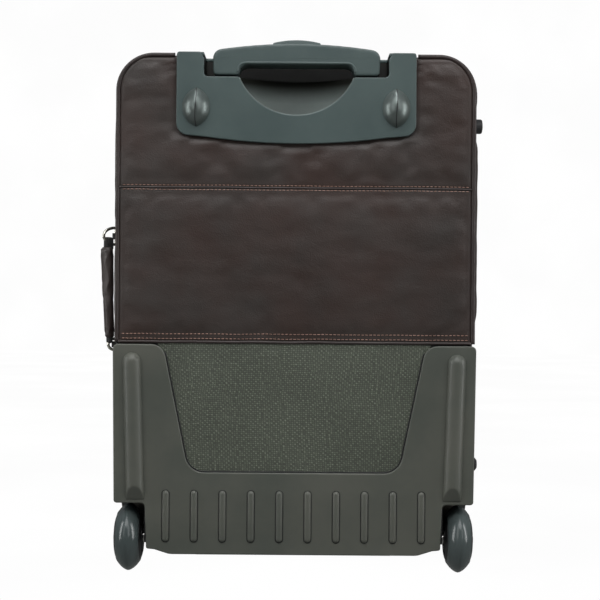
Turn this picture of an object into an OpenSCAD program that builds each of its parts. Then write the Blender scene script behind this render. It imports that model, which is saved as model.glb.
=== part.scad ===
// Two-wheeled flight crew case in leather, with a telescopic handle.
// The back, with the wheels and the handle, faces -Y; the lid faces +Y.
// The origin is on the floor below the middle of the case.

/* [Case] */
// Width over the leather side walls
case_w = 356; // [350:1:360]
// Height of the leather top above the floor
case_top = 520; // [518:0.5:520]
// Height of the leather underside above the floor
case_base = 24; // [23:0.5:25]
// Radius of the top corners
top_r = 35; // [25:1:42]
// Radius of the bottom corners
base_r = 12; // [10:1:16]
// Half width of the underside's flat middle
base_flat = 118; // [118:1:122]
// Rise of the underside from its flat middle to the sides
base_rise = 16; // [14:1:16]
// Distance from the depth origin to the leather back
back_depth = 102.5; // [102:0.5:104]
// Distance from the depth origin to the lid's opening line
opening_depth = 60.5; // [60:0.5:62]
// Thickness of the leather
leather_t = 2; // [1.6:0.1:2.4]
// Thickness of the frame hoop
hoop_t = 3; // [2:0.5:3]

/* [Front] */
// Depth of the lid's side wall in front of its zip
lid_depth = 21.5; // [20:0.5:24]
// Depth of the large pocket
large_pocket_depth = 27; // [22:1:28]
// Depth of the small pocket
small_pocket_depth = 12; // [10:1:16]
// Width of the large pocket
large_pocket_w = 316; // [280:2:320]

/* [Telescopic handle] */
// Distance from the mid plane to each tube
tube_x = 71.3; // [71:0.1:71.5]
// Outer tube section, width and depth
outer_tube = [26, 16];
// Middle tube section, width and depth
middle_tube = [22, 13];
// Inner tube section, width and depth
inner_tube = [18, 10];
// Half width of the grip
grip_half = 84.5; // [84:0.5:86]
// Highest point of the grip's crown
grip_top = 533; // [532:0.5:533]
// Downward travel of the release button
button_travel = 4; // [3:0.5:4]

/* [Handle plate] */
// Half width of the plate
plate_half = 120; // [116:1:126]
// Radius of the finger scallop
scallop_r = 63; // [60:1:64]
// Height of the ledges on which the grip rests
ledge_z = 498.7; // [498:0.1:499]
// Half width of the recess around the grip
recess_half = 92.7; // [90:0.1:94]

/* [Corner guard] */
// Half width of the guard at its top
guard_half = 182; // [181:0.5:183]
// Height of the guard's arms above the floor
guard_top = 230.5; // [220:0.5:235]
// Height of the lower edge of the opening between the arms
guard_sill = 102.5; // [96:0.5:106]
// Number of ribs
rib_count = 10; // [8:1:10]
// Spacing of the ribs
rib_pitch = 28.4; // [26:0.2:28.4]

/* [Wheels] */
// Wheel diameter
wheel_d = 68; // [66:1:68]
// Wheel width
wheel_w = 24; // [22:1:24]
// Distance from the mid plane to each wheel's middle
wheel_x = 167; // [167:0.5:168]
// Distance from the depth origin back to the axles
axle_depth = 80.5; // [80:0.5:81]
// Radius of the axles
axle_r = 4; // [3.5:0.1:4]

/* [Carry handles] */
// Distance from the mid plane to each top handle ring
top_ring_x = 70; // [60:1:74]
// Heights of the two side handle rings
side_ring_z = [229, 342];
// Backward lean of the side handle
side_lean = 50; // [45:1:60]

/* [Hidden] */
$fn = 48;

// Colours
brown = [0.22, 0.16, 0.14];
charcoal = [0.27, 0.29, 0.28];
green_grey = [0.31, 0.35, 0.34];
black = [0.09, 0.09, 0.1];
steel = [0.72, 0.72, 0.74];

// Case
back_y = -back_depth;
skin_t = 2.5;
board_t = 3;
board_front = back_y + skin_t + board_t;
zip_w = 5.5;
shell_front = opening_depth - zip_w;
shell_skins = leather_t + hoop_t;
seam_upper_z = 388;
seam_lower_z = 235;
panel_foot_z = 90;
piping_d = 3;
lining_y = -62;
lining_t = 1.5;
hinge_z = [60, 480];
hinge_x = case_w / 2 - 8;

// Lid and pockets
lid_front = opening_depth + lid_depth;
lid_leather_y = opening_depth + zip_w;
lid_gap = 0.3;
large_pocket_z = [45, 330];
small_pocket_z = [345, 480];
small_pocket_half = 140;
pocket_front = lid_front + large_pocket_depth;
pocket_slit_z = [298, 306];
pocket_slit_half = 142;

// Wheels
axle_y = -axle_depth;
axle_z = wheel_d / 2;
wheel_gap = 4;
housing_x = 149.5;
housing_wall = 3;
bearing_r = 11;
bearing_w = 7;
tread_r = wheel_w / 2;
hub_r = axle_z - tread_r + 1;

// Handle plate and well
plate_t = 4;
plate_y = back_y - plate_t;
flange_t = 3.5;
flange_top = case_top + flange_t;
flange_front = -60;
well_front = -66;
well_wall = 2.5;
dish_depth = 32.5;
dish_rim = scallop_r - 0.5;
dish_r = (dish_rim * dish_rim + dish_depth * dish_depth) / (2 * dish_depth);
dish_y = back_y + dish_depth - dish_r;
bump_x = 100.2;
bump_z = 468;

// Telescopic handle
tube_y = -86;
tube_foot_z = 58;
outer_top = 483;
middle_foot_z = 66;
middle_top = 488;
middle_collar_top = 500;
inner_foot_z = 70;
inner_top = 513.5;
grip_y = [-102, -72];
grip_base_z = 512;
grip_split_z = 518;
leg_foot_z = 501;
leg_inner = 58;
cavity_y = [-94, -78];
cavity_half = 80;
cavity_floor = 514.5;
cavity_roof = 524.5;
bar_z = [519, 524];
spring_x = 40;
spring_top = 523;
screw_x = 74.1;
screw_z = 505.3;
rod_r = 2;

// Guard
guard_foot_z = 20;
notch_z = 71.5;
guard_t = guard_half - case_w / 2;

// Studs on the side
stud_y = [-80, 20];
stud_z = [110, 453.5];
stud_base_r = 11;

// Carry handles and sliders
ring_r = 7;
ring_wire = 1.5;
ring_gap = 0.08;
side_ring_x = -case_w / 2 - 6;
side_ring_y = -72;
top_ring_z = case_top + 7;
slider_x = 14;
knuckle_r = 1.7;
pull_pin_r = 0.9;
main_knuckle = [opening_depth - 2, case_top + 6];
pocket_knuckle = [pocket_front + 4.2, 302];

// Points of an arc from angle a0 to a1
function arc(centre, r, a0, a1, n = 8) =
    [for (i = [0 : n]) let (a = a0 + (a1 - a0) * i / n) centre + r * [cos(a), sin(a)]];

// Points that round the corner at b, between a and c
function corner(a, b, c, r, n) = r == 0 ? [b] : let (
    u = (a - b) / norm(a - b),
    v = (c - b) / norm(c - b),
    half = acos(u * v) / 2,
    centre = b + (u + v) / norm(u + v) * r / sin(half),
    from = b + u * r / tan(half) - centre,
    to = b + v * r / tan(half) - centre,
    start = atan2(from[1], from[0]),
    turn = atan2(to[1], to[0]) - start,
    sweep = turn > 180 ? turn - 360 : turn < -180 ? turn + 360 : turn
) arc(centre, r, start, start + sweep, n);

// An outline from corners given as [x, z, radius]
function rounded(path, n = 6) = [for (i = [0 : len(path) - 1]) let (
    k = len(path),
    a = path[(i + k - 1) % k],
    b = path[i],
    c = path[(i + 1) % k]
) each corner([a[0], a[1]], [b[0], b[1]], [c[0], c[1]], b[2], n)];

// The right half of an outline, followed by its mirror image
function both_halves(right) =
    concat(right, [for (i = [len(right) - 1 : -1 : 0]) [-right[i][0], right[i][1], right[i][2]]]);

// The case's outline seen from behind, inset by g from the leather's outer face
function case_outline(g) = rounded(both_halves([
    [base_flat, case_base + g, 20],
    [case_w / 2 - g, case_base + base_rise + g, base_r - g],
    [case_w / 2 - g, case_top - g, top_r - g]]), 8);

module along_y(y0, y1) { translate([0, y1, 0]) rotate([90, 0, 0]) linear_extrude(y1 - y0) children(); }

module along_x(x0, x1) { translate([x0, 0, 0]) rotate([90, 0, 90]) linear_extrude(x1 - x0) children(); }

module block(low, high) { translate(low) cube(high - low); }

module pair() {
    children();
    mirror([1, 0, 0]) children();
}

module rod_x(x0, x1, r, y, z) { translate([x0, y, z]) rotate([0, 90, 0]) cylinder(h = x1 - x0, r = r); }

module rod_y(y0, y1, r, x, z) { translate([x, y1, z]) rotate([90, 0, 0]) cylinder(h = y1 - y0, r = r); }

module rod_z(z0, z1, r, x, y) { translate([x, y, z0]) cylinder(h = z1 - z0, r = r); }

// A band round the case, between two insets
module band(g0, g1, y0, y1) {
    along_y(y0, y1) difference() {
        polygon(case_outline(g0));
        polygon(case_outline(g1));
    }
}

// Space taken by the wheel housings, grown by g
module housing_space(g) {
    pair() block([housing_x - housing_wall - g, -130, 0],
        [case_w, axle_y + axle_z + wheel_gap + housing_wall + g, notch_z + 4.5 + g]);
}

// Space taken by the handle well's tray
module well_space(g) {
    block([-recess_half - well_wall - g, -130, ledge_z - well_wall - g],
        [recess_half + well_wall + g, well_front + well_wall + g, case_top + 20]);
}

// Part of the side where the hinge strip takes the zip's place
module hinge_zone(g) { block([hinge_x - g, 0, hinge_z[0] - g], [case_w, lid_front + 9, hinge_z[1] + g]); }

// --- Shell ---

module frame_hoop() {
    color("#26262a") difference() {
        band(leather_t, shell_skins, board_front, shell_front - 1);
        housing_space(0.3);
        well_space(0.3);
    }
}

module back_board() {
    color("#303034") difference() {
        along_y(back_y + skin_t, board_front) difference() {
            polygon(case_outline(leather_t));
            translate([0, flange_top]) circle(r = scallop_r + 4);
        }
        housing_space(0.3);
        well_space(0.3);
    }
}

// A panel of the leather back between two heights
module back_panel(z0, z1) {
    along_y(back_y, back_y + skin_t) intersection() {
        polygon(case_outline(0));
        translate([-case_w, z0]) square([2 * case_w, z1 - z0]);
    }
}

module back_leather_upper() {
    color(brown) difference() {
        back_panel(seam_upper_z + 0.2, case_top);
        well_space(0.3);
        rod_y(-130, 0, scallop_r + 4, 0, flange_top);
    }
}

module back_leather_middle() {
    color(brown) back_panel(seam_lower_z + 0.2, seam_upper_z - 0.2);
}

module mesh_panel() {
    color("#4d524c") back_panel(panel_foot_z, seam_lower_z - 0.2);
}

module gusset_leather() {
    color(brown) difference() {
        band(0, leather_t, back_y + skin_t, shell_front);
        housing_space(0.3);
        well_space(0.3);
    }
}

module back_piping() {
    color(brown) difference() {
        band(-piping_d, 0, back_y - 0.5, back_y + piping_d);
        block([-case_w, -130, 0], [case_w, 0, guard_top + 0.5]);
        block([-plate_half - 0.5, -130, case_top - 1], [plate_half + 0.5, 0, case_top + 9]);
    }
}

// The lining's outer volume, inset by g
module lining_volume(g) {
    difference() {
        along_y(lining_y + g, shell_front - 1 + g / 10) polygon(case_outline(shell_skins + 0.3 + g));
        housing_space(0.3 + g);
    }
}

// Space behind the front face of the lining's back panel
module behind_lining() { block([-case_w, back_y, 0], [case_w, lining_y + lining_t, case_top]); }

module lining_walls() {
    color("#5b5550") difference() {
        lining_volume(0);
        lining_volume(lining_t);
        behind_lining();
    }
}

module lining_back() {
    color("#5b5550") intersection() {
        lining_volume(0);
        behind_lining();
    }
}

module zip_tape_case() {
    color(black) difference() {
        band(0.3, 1.5, shell_front, opening_depth - 0.2);
        hinge_zone(0.2);
    }
}

module hinge_strip() {
    color(brown) intersection() {
        band(0, leather_t, shell_front, opening_depth - 0.2);
        hinge_zone(0);
    }
}

// --- Handle plate and well ---

module plate_outline() {
    bow = 9;
    corner_z = 441;
    bow_x = 90;
    bow_points = [for (x = [bow_x : -15 : -bow_x]) [x, corner_z - bow * (1 - pow(x / 108, 2)), 0]];
    difference() {
        polygon(rounded(concat(
            [[plate_half, flange_top, 3], [plate_half, corner_z, 12]],
            bow_points,
            [[-plate_half, corner_z, 12], [-plate_half, flange_top, 3]])));
        translate([0, flange_top]) circle(r = scallop_r, $fn = 96);
        translate([-recess_half, ledge_z]) square([2 * recess_half, 50]);
    }
}

module handle_plate() {
    color(green_grey) union() {
        along_y(plate_y, back_y) plate_outline();
        difference() {
            block([-plate_half + 0.5, back_y, case_top], [plate_half - 0.5, flange_front, flange_top]);
            block([-recess_half, -130, case_top - 1], [recess_half, well_front, flange_top + 1]);
        }
    }
}

module well_ball(r) { translate([0, dish_y, flange_top]) sphere(r = r, $fn = 96); }

module handle_well() {
    half = recess_half + well_wall;
    color(black) difference() {
        union() {
            block([-half, back_y, ledge_z - well_wall], [half, well_front + well_wall, case_top]);
            intersection() {
                well_ball(dish_r + well_wall);
                block([-half, back_y, 400], [half, 0, ledge_z - 1]);
            }
        }
        block([-recess_half, -130, ledge_z], [recess_half, well_front, case_top + 9]);
        well_ball(dish_r);
        pair() block([tube_x - 11.5, tube_y - 7, 400], [tube_x + 11.5, tube_y + 7, case_top]);
    }
}

// Two-sided bump with an upright crease, pointed above and below
module plate_bumpers() {
    ball_r = 22.75;
    offset_x = 6.5;
    sink = 9.84;
    color(green_grey) pair() intersection() {
        translate([bump_x, plate_y + sink, bump_z]) rotate([0, 90, 0]) rotate_extrude($fn = 96) intersection() {
            translate([0, offset_x]) circle(r = ball_r);
            translate([0, -offset_x]) circle(r = ball_r);
            translate([0, -ball_r]) square([ball_r, 2 * ball_r]);
        }
        block([0, plate_y - ball_r, bump_z - ball_r], [case_w, plate_y, bump_z + ball_r]);
    }
}

// --- Corner guard ---

module guard_outline() {
    polygon(rounded(both_halves([
        [base_flat + 6, guard_foot_z + 0.5, 20],
        [base_flat + 21, guard_foot_z + 5.2, 12],
        [housing_x - 3.5, guard_foot_z + 6, 2],
        [housing_x - 1.5, notch_z, 4],
        [guard_half - 2, notch_z, 3],
        [guard_half, guard_top, 5],
        [131.7, guard_top, 15],
        [105.4, guard_sill, 19]])));
}

module guard_rib(x) {
    rib_r = 3.8;
    rib_z = [35, 79.5];
    rib_y = plate_y + 0.8;
    rod_z(rib_z[0], rib_z[1], rib_r, x, rib_y);
    for (z = rib_z) translate([x, rib_y, z]) sphere(r = rib_r);
}

module corner_guard() {
    wing_front = -60;
    color(charcoal) difference() {
        union() {
            along_y(plate_y, back_y) guard_outline();
            pair() block([case_w / 2, back_y, notch_z], [guard_half - 2, wing_front, guard_top - 5]);
            block([-base_flat + 20, back_y, guard_foot_z], [base_flat - 20, -30, case_base]);
            intersection() {
                for (i = [0 : rib_count - 1]) guard_rib((i - (rib_count - 1) / 2) * rib_pitch);
                block([-case_w, -130, 0], [case_w, plate_y + 1, guard_top]);
            }
        }
        pair() rod_x(housing_x + 20, case_w, axle_z + wheel_gap + housing_wall, axle_y, axle_z);
        rod_x(case_w / 2 - 1, case_w, stud_base_r + 0.2, stud_y[0], stud_z[0]);
    }
}

module skid_bar(ends) {
    bar_r = 9.35;
    ramp = 61;
    bar_y = plate_y + 0.8;
    difference() {
        union() {
            rod_z(ends[0] - ends[1], 0, bar_r, 0, bar_y);
            translate([0, bar_y, 0]) sphere(r = bar_r);
        }
        block([-50, plate_y, ends[0] - ends[1] - 9], [50, 0, 50]);
        translate([0, plate_y, ends[0] - ends[1]]) rotate([-ramp, 0, 0]) block([-20, -30, -30], [20, 0, 0]);
    }
}

// The bars lean in towards their lower ends
module skid_bars() {
    ends = [74, 213];
    tilt = 1.8;
    color(charcoal) pair() translate([162.6, 0, ends[1]]) rotate([0, tilt, 0]) skid_bar(ends);
}

module guard_rivets() {
    color(steel) {
        pair() for (y = [-90, -68]) rod_x(guard_half - 2, guard_half - 0.8, 3.5, y, 205);
        for (x = [-90, -30, 30, 90]) rod_z(guard_foot_z - 1.2, guard_foot_z, 3.5, x, -44);
    }
}

// --- Wheels ---

module wheel_housings() {
    reach = axle_z + wheel_gap;
    color(black) pair() difference() {
        block([housing_x - housing_wall, back_y, case_base + base_rise / 2],
            [case_w / 2, axle_y + reach + housing_wall, notch_z + 4.5]);
        rod_x(housing_x, case_w, reach, axle_y, axle_z);
        block([housing_x, -130, 0], [case_w, axle_y + reach - 0.01, axle_z]);
        block([housing_x, -130, 0], [case_w, axle_y, axle_z + reach - 0.01]);
        rod_x(0, case_w, axle_r, axle_y, axle_z);
    }
}

module wheel_axles() {
    head_x = 179.8;
    color(steel) pair() {
        rod_x(housing_x - housing_wall, head_x, axle_r, axle_y, axle_z);
        rod_x(housing_x, wheel_x - 10.3, 6.2, axle_y, axle_z);
        rod_x(head_x, head_x + 2.5, 6.5, axle_y, axle_z);
    }
}

module wheel_bearings() {
    color(steel) pair() for (x = [-10, 3]) difference() {
        rod_x(wheel_x + x, wheel_x + x + bearing_w, bearing_r, axle_y, axle_z);
        rod_x(0, case_w, axle_r, axle_y, axle_z);
    }
}

// A body of revolution about the wheel's axle on one side
module on_axle(side) { translate([side * wheel_x, axle_y, axle_z]) rotate([0, 90, 0]) rotate_extrude($fn = 96) children(); }

module tyre(side) {
    profile = [[hub_r, tread_r], [26, 10.3], [28.5, 8.7], [31, 6.3], [33, 3.6]];
    color("#2b2d30") on_axle(side) polygon(concat(
        profile,
        [[axle_z, 0]],
        [for (i = [len(profile) - 1 : -1 : 0]) [profile[i][0], -profile[i][1]]]));
}

module hub(side) {
    web = 4;
    rim = 2.5;
    half = tread_r - 1.5;
    color("#3a3c40") on_axle(side) union() {
        translate([bearing_r + 0.05, -half]) square([rim, 2 * half]);
        translate([hub_r - rim, -half]) square([rim, 2 * half]);
        translate([bearing_r + 1, -web / 2]) square([hub_r - bearing_r - 2, web]);
    }
}

module tyre_left() { tyre(-1); }

module tyre_right() { tyre(1); }

module hub_left() { hub(-1); }

module hub_right() { hub(1); }

// --- Telescopic handle ---

// Upright tube of rectangular section, solid when wall is 0
module tube(section, wall, z0, z1) {
    half = section / 2;
    difference() {
        block([tube_x - half[0], tube_y - half[1], z0], [tube_x + half[0], tube_y + half[1], z1]);
        if (wall > 0) block([tube_x - half[0] + wall, tube_y - half[1] + wall, z0 - 1],
            [tube_x + half[0] - wall, tube_y + half[1] - wall, z1 + 1]);
    }
}

module outer_tubes() {
    color("#8d9093") pair() tube(outer_tube, 1.2, tube_foot_z, outer_top);
}

module outer_collars() {
    color(black) pair() difference() {
        tube([27, 17], 0, outer_top, ledge_z - well_wall);
        tube(middle_tube + [0.6, 0.6], 0, 0, case_top);
    }
}

module tube_base() {
    color(black) difference() {
        block([-90, board_front, 46], [90, -76, 66]);
        pair() tube(outer_tube + [0.1, 0.1], 0, tube_foot_z, case_top);
    }
}

module middle_tubes() {
    color("#a3a6a9") pair() tube(middle_tube, 1, middle_foot_z, middle_top);
}

module middle_collars() {
    color(black) pair() difference() {
        tube(middle_tube, 0, middle_top, middle_collar_top);
        tube(inner_tube + [0.6, 0.6], 0, 0, case_top);
    }
}

module inner_tubes() {
    color("#b6b9bb") pair() difference() {
        tube(inner_tube, 1, inner_foot_z, inner_top);
        rod_y(-130, tube_y, 1.6, screw_x, screw_z);
    }
}

module tube_plugs() {
    color(black) pair() difference() {
        tube(inner_tube - [2.1, 2.1], 0, inner_foot_z + 2, inner_foot_z + 24);
        rod_z(inner_foot_z + 10, case_top, rod_r + 0.6, tube_x, tube_y);
    }
}

module grip_outline() {
    polygon(rounded(both_halves([
        [leg_inner, grip_base_z, 6],
        [leg_inner, leg_foot_z, 1.5],
        [grip_half - 1, leg_foot_z, 2.5],
        [grip_half, grip_split_z, 0]])));
}

module grip_body() {
    color(green_grey) difference() {
        along_y(grip_y[0], grip_y[1]) grip_outline();
        block([-cavity_half, cavity_y[0], cavity_floor], [cavity_half, cavity_y[1], grip_split_z + 9]);
        pair() {
            tube(inner_tube + [0.1, 0.1], 0, 0, cavity_floor + 1);
            rod_y(grip_y[0] - 1, -98.8, 3.3, screw_x, screw_z);
            rod_y(grip_y[0] - 1, tube_y, 1.55, screw_x, screw_z);
        }
    }
}

module grip_cover() {
    drop = 7;
    crown_r = (grip_half * grip_half + drop * drop) / (2 * drop);
    edge = asin(grip_half / crown_r);
    color(green_grey) difference() {
        along_y(grip_y[0], grip_y[1]) polygon(concat(
            [[-grip_half, grip_split_z]],
            [[grip_half, grip_split_z]],
            arc([0, grip_top - crown_r], crown_r, 90 - edge, 90 + edge, 16)));
        block([-cavity_half, cavity_y[0], 0], [cavity_half, cavity_y[1], cavity_roof]);
        block([-28, cavity_y[0], 0], [28, cavity_y[1], cavity_roof + 4]);
        block([-24.3, tube_y - 7.8, 0], [24.3, tube_y + 7.8, grip_top + 1]);
    }
}

module grip_screws() {
    color(steel) pair() {
        rod_y(-100.8, -98.8, 3, screw_x, screw_z);
        rod_y(-98.8, tube_y - 3.6, 1.5, screw_x, screw_z);
    }
}

// Helical spring swept from bottom to top
module spring(r, wire, turns, z0, z1) {
    sides = 8;
    steps = 12;
    rings = turns * steps;
    rise = (z1 - z0 - wire) / rings;
    points = [for (i = [0 : rings]) for (s = [0 : sides - 1]) let (
        a = i * 360 / steps,
        b = s * 360 / sides,
        reach = r + wire / 2 * cos(b)
    ) [reach * cos(a), reach * sin(a), z0 + wire / 2 + i * rise + wire / 2 * sin(b)]];
    skin = [for (i = [0 : rings - 1]) for (s = [0 : sides - 1])
        [i * sides + s, i * sides + (s + 1) % sides, (i + 1) * sides + (s + 1) % sides, (i + 1) * sides + s]];
    ends = [[for (s = [sides - 1 : -1 : 0]) s], [for (s = [0 : sides - 1]) rings * sides + s]];
    polyhedron(points, concat([for (f = skin) [f[3], f[2], f[1], f[0]]], [for (f = ends)
        [for (k = [len(f) - 1 : -1 : 0]) f[k]]]));
}

module button_springs() {
    color(steel) pair() translate([spring_x, tube_y, 0]) spring(2.8, 0.7, 5, cavity_floor, spring_top);
}

module release_button() {
    half = 24;
    color("#6d7573") union() {
        along_y(tube_y - 7.5, tube_y + 7.5) polygon(concat(
            [[-half, bar_z[1]], [half, bar_z[1]]],
            arc([0, grip_top + 5 - 97.5], 97.5, 90 - asin(half / 97.5), 90 + asin(half / 97.5), 12)));
        block([-27, tube_y - 7.5, bar_z[1]], [27, tube_y + 7.5, bar_z[1] + 2]);
    }
}

module release_bar() {
    color(black) difference() {
        block([-76, tube_y - 5, bar_z[0]], [76, tube_y + 5, bar_z[1]]);
        pair() rod_z(bar_z[0] - 1, spring_top, 3.8, spring_x, tube_y);
    }
}

module push_rods() {
    color(steel) pair() rod_z(inner_foot_z + 10 + button_travel + 2, bar_z[0], rod_r, tube_x, tube_y);
}

// --- Feet and studs ---

module front_feet() {
    color(black) pair() union() {
        block([62, 30, 6], [112, 54, case_base]);
        block([67, 33, 0], [107, 51, 6]);
    }
}

module side_studs() {
    base_x = case_w / 2;
    color("#3c3e42") for (y = stud_y) for (z = stud_z) {
        rod_x(base_x, base_x + 3, stud_base_r, y, z);
        rod_x(base_x + 3, base_x + 14, 7.5, y, z);
    }
}

// --- Lid ---

module lid_board() {
    color("#303034") along_y(lid_front - leather_t - board_t, lid_front - leather_t)
        polygon(case_outline(leather_t + 0.1));
}

module lid_leather() {
    color(brown) union() {
        band(0, leather_t, lid_leather_y, lid_front - leather_t);
        along_y(lid_front - leather_t, lid_front) polygon(case_outline(0));
        intersection() {
            band(0, leather_t, opening_depth + lid_gap, lid_leather_y);
            hinge_zone(0);
        }
    }
}

module front_piping() {
    color(brown) band(-piping_d, 0, lid_front - piping_d, lid_front + 0.5);
}

module zip_tape_lid() {
    color(black) difference() {
        band(0.3, 1.5, opening_depth + 0.2, lid_leather_y);
        hinge_zone(0.2);
    }
}

module large_pocket() {
    half = large_pocket_w / 2;
    z = large_pocket_z;
    wall = 2;
    color(brown) difference() {
        along_y(lid_front, pocket_front) polygon(rounded(both_halves([[half, z[0], 16], [half, z[1], 22]])));
        along_y(lid_front + wall, pocket_front - wall) polygon(rounded(both_halves([
            [half - wall, z[0] + wall, 14], [half - wall, z[1] - wall, 20]])));
        block([-pocket_slit_half, lid_front + wall, pocket_slit_z[0]],
            [pocket_slit_half, pocket_front + 1, pocket_slit_z[1]]);
    }
}

module small_pocket() {
    half = small_pocket_half;
    z = small_pocket_z;
    wall = 2;
    front = lid_front + small_pocket_depth;
    color(brown) difference() {
        along_y(lid_front, front) polygon(rounded(both_halves([[half, z[0], 16], [half, z[1], 4]])));
        block([-half + wall + 6, lid_front + wall, z[0] + wall + 6], [half - wall - 6, front - wall, z[1] + 1]);
    }
}

module pocket_zip() {
    color(black) block([-pocket_slit_half + 0.2, pocket_front - 1.6, pocket_slit_z[0] + 0.2],
        [pocket_slit_half - 0.2, pocket_front - 0.2, pocket_slit_z[1] - 0.2]);
}

// --- Zip sliders ---

// Slider and knuckle for a zip along X; knuckle is its [y, z], low and high bound the slider's body
module slider(x, knuckle, low, high) {
    color(steel) difference() {
        union() {
            block([x - 5, low[0], low[1]], [x + 5, high[0], high[1]]);
            rod_x(x - 2, x + 2, knuckle_r, knuckle[0], knuckle[1]);
        }
        rod_x(x - 9, x + 9, pull_pin_r + ring_gap, knuckle[0], knuckle[1]);
    }
}

// Pull tab hung from a knuckle at [y, z]; turn is the tab's direction, 0 for +Y and 90 for +Z
module pull(x, knuckle, turn) {
    color(steel) translate([x, knuckle[0], knuckle[1]]) rotate([turn, 0, 0]) union() {
        rod_x(-3.9, 3.9, pull_pin_r, 0, 0);
        for (side = [-1, 1]) translate([side * 3.1 - 0.8, -0.8, -0.8]) cube([1.6, 4.6, 1.6]);
        translate([-3.9, 3.4, -0.8]) cube([7.8, 18, 1.6]);
    }
}

module main_slider(x) {
    k = main_knuckle;
    slider(x, k, [opening_depth - 5, case_top + 0.4], [opening_depth + 5, case_top + 4.6]);
}

module main_pull(x) { pull(x, main_knuckle, 189); }

module main_slider_left() { main_slider(-slider_x); }

module main_slider_right() { main_slider(slider_x); }

module main_pull_left() { main_pull(-slider_x); }

module main_pull_right() { main_pull(slider_x); }

module pocket_slider() {
    k = pocket_knuckle;
    slider(-120, k, [pocket_front + 0.3, k[1] - 4], [k[0] - 1.3, k[1] + 4]);
}

module pocket_pull() { pull(-120, pocket_knuckle, -90); }

// --- Carry handles ---

// D-ring: straight pin along Z at the origin, and its bow towards +X
module d_ring() {
    cylinder(h = 2 * ring_r, r = ring_wire, center = true);
    rotate([90, 0, 0]) rotate([0, 0, -90]) rotate_extrude(angle = 180)
        translate([ring_r, 0]) circle(r = ring_wire);
    for (z = [-ring_r, ring_r]) translate([0, 0, z]) sphere(r = ring_wire);
}

// Knuckle that holds a D-ring's pin, with a base plate towards -X
module ring_anchor(reach) {
    difference() {
        union() {
            cylinder(h = 6, r = 3.4, center = true);
            translate([-reach + 1, -3.4, -3]) cube([reach - 1, 6.8, 6]);
            translate([-reach, -9, -3]) cube([1.8, 18, 6]);
        }
        cylinder(h = 8, r = ring_wire + ring_gap, center = true);
    }
}

// Places a handle part at a side ring: +X becomes the side's outward direction
module at_side_ring(z) { translate([side_ring_x, side_ring_y, z]) rotate([0, 0, 180]) children(); }

// Places a handle part at a top ring: Z runs along X and +X turns to the given direction
module at_top_ring(x, turn) { translate([x, 0, top_ring_z]) rotate([turn, 0, 0]) rotate([90, 0, 90]) children(); }

module side_handle_anchors() {
    color(black) for (z = side_ring_z) at_side_ring(z) ring_anchor(6);
}

module side_handle_rings() {
    color(steel) for (z = side_ring_z) at_side_ring(z) rotate([0, 0, side_lean]) d_ring();
}

module side_handle_grip() {
    grip_z = [241, 328];
    color(brown) at_side_ring(0) rotate([0, 0, side_lean]) union() {
        translate([0, 0, grip_z[0]]) linear_extrude(grip_z[1] - grip_z[0])
            polygon(rounded([[4, -8, 4], [15, -8, 4], [15, 8, 4], [4, 8, 4]]));
        block([ring_r + ring_wire + 0.1, -7, side_ring_z[0] - 4], [ring_r + ring_wire + 2.6, 7, side_ring_z[1] + 4]);
    }
}

module top_handle_anchors() {
    color(black) pair() at_top_ring(top_ring_x, 90) ring_anchor(7);
}

module top_handle_rings() {
    color(steel) pair() at_top_ring(top_ring_x, 0) d_ring();
}

module top_handle_grip() {
    half = 58;
    color(brown) union() {
        along_x(-half, half) polygon(rounded([[5, top_ring_z - 5, 4], [29, top_ring_z - 5, 4],
            [29, top_ring_z + 5, 4], [5, top_ring_z + 5, 4]]));
        block([-top_ring_x - 4, ring_r + ring_wire + 0.1, top_ring_z - 4],
            [top_ring_x + 4, ring_r + ring_wire + 8, top_ring_z + 4]);
    }
}

frame_hoop();
back_board();
back_leather_upper();
back_leather_middle();
mesh_panel();
gusset_leather();
back_piping();
lining_walls();
lining_back();
handle_plate();
handle_well();
plate_bumpers();
corner_guard();
skid_bars();
guard_rivets();
wheel_housings();
wheel_axles();
wheel_bearings();
outer_tubes();
outer_collars();
tube_base();
front_feet();
side_studs();
side_handle_anchors();
top_handle_anchors();
zip_tape_case();
hinge_strip();
middle_tubes();
middle_collars();
inner_tubes();
tube_plugs();
grip_body();
grip_cover();
grip_screws();
button_springs();
release_button();
release_bar();
push_rods();
tyre_left();
hub_left();
tyre_right();
hub_right();
lid_board();
lid_leather();
front_piping();
zip_tape_lid();
large_pocket();
small_pocket();
pocket_zip();
main_slider_left();
main_pull_left();
main_slider_right();
main_pull_right();
pocket_slider();
pocket_pull();
side_handle_grip();
side_handle_rings();
top_handle_grip();
top_handle_rings();
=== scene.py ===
import math

import bmesh
import bpy
import numpy as np
from mathutils import Matrix, Vector, noise


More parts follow.
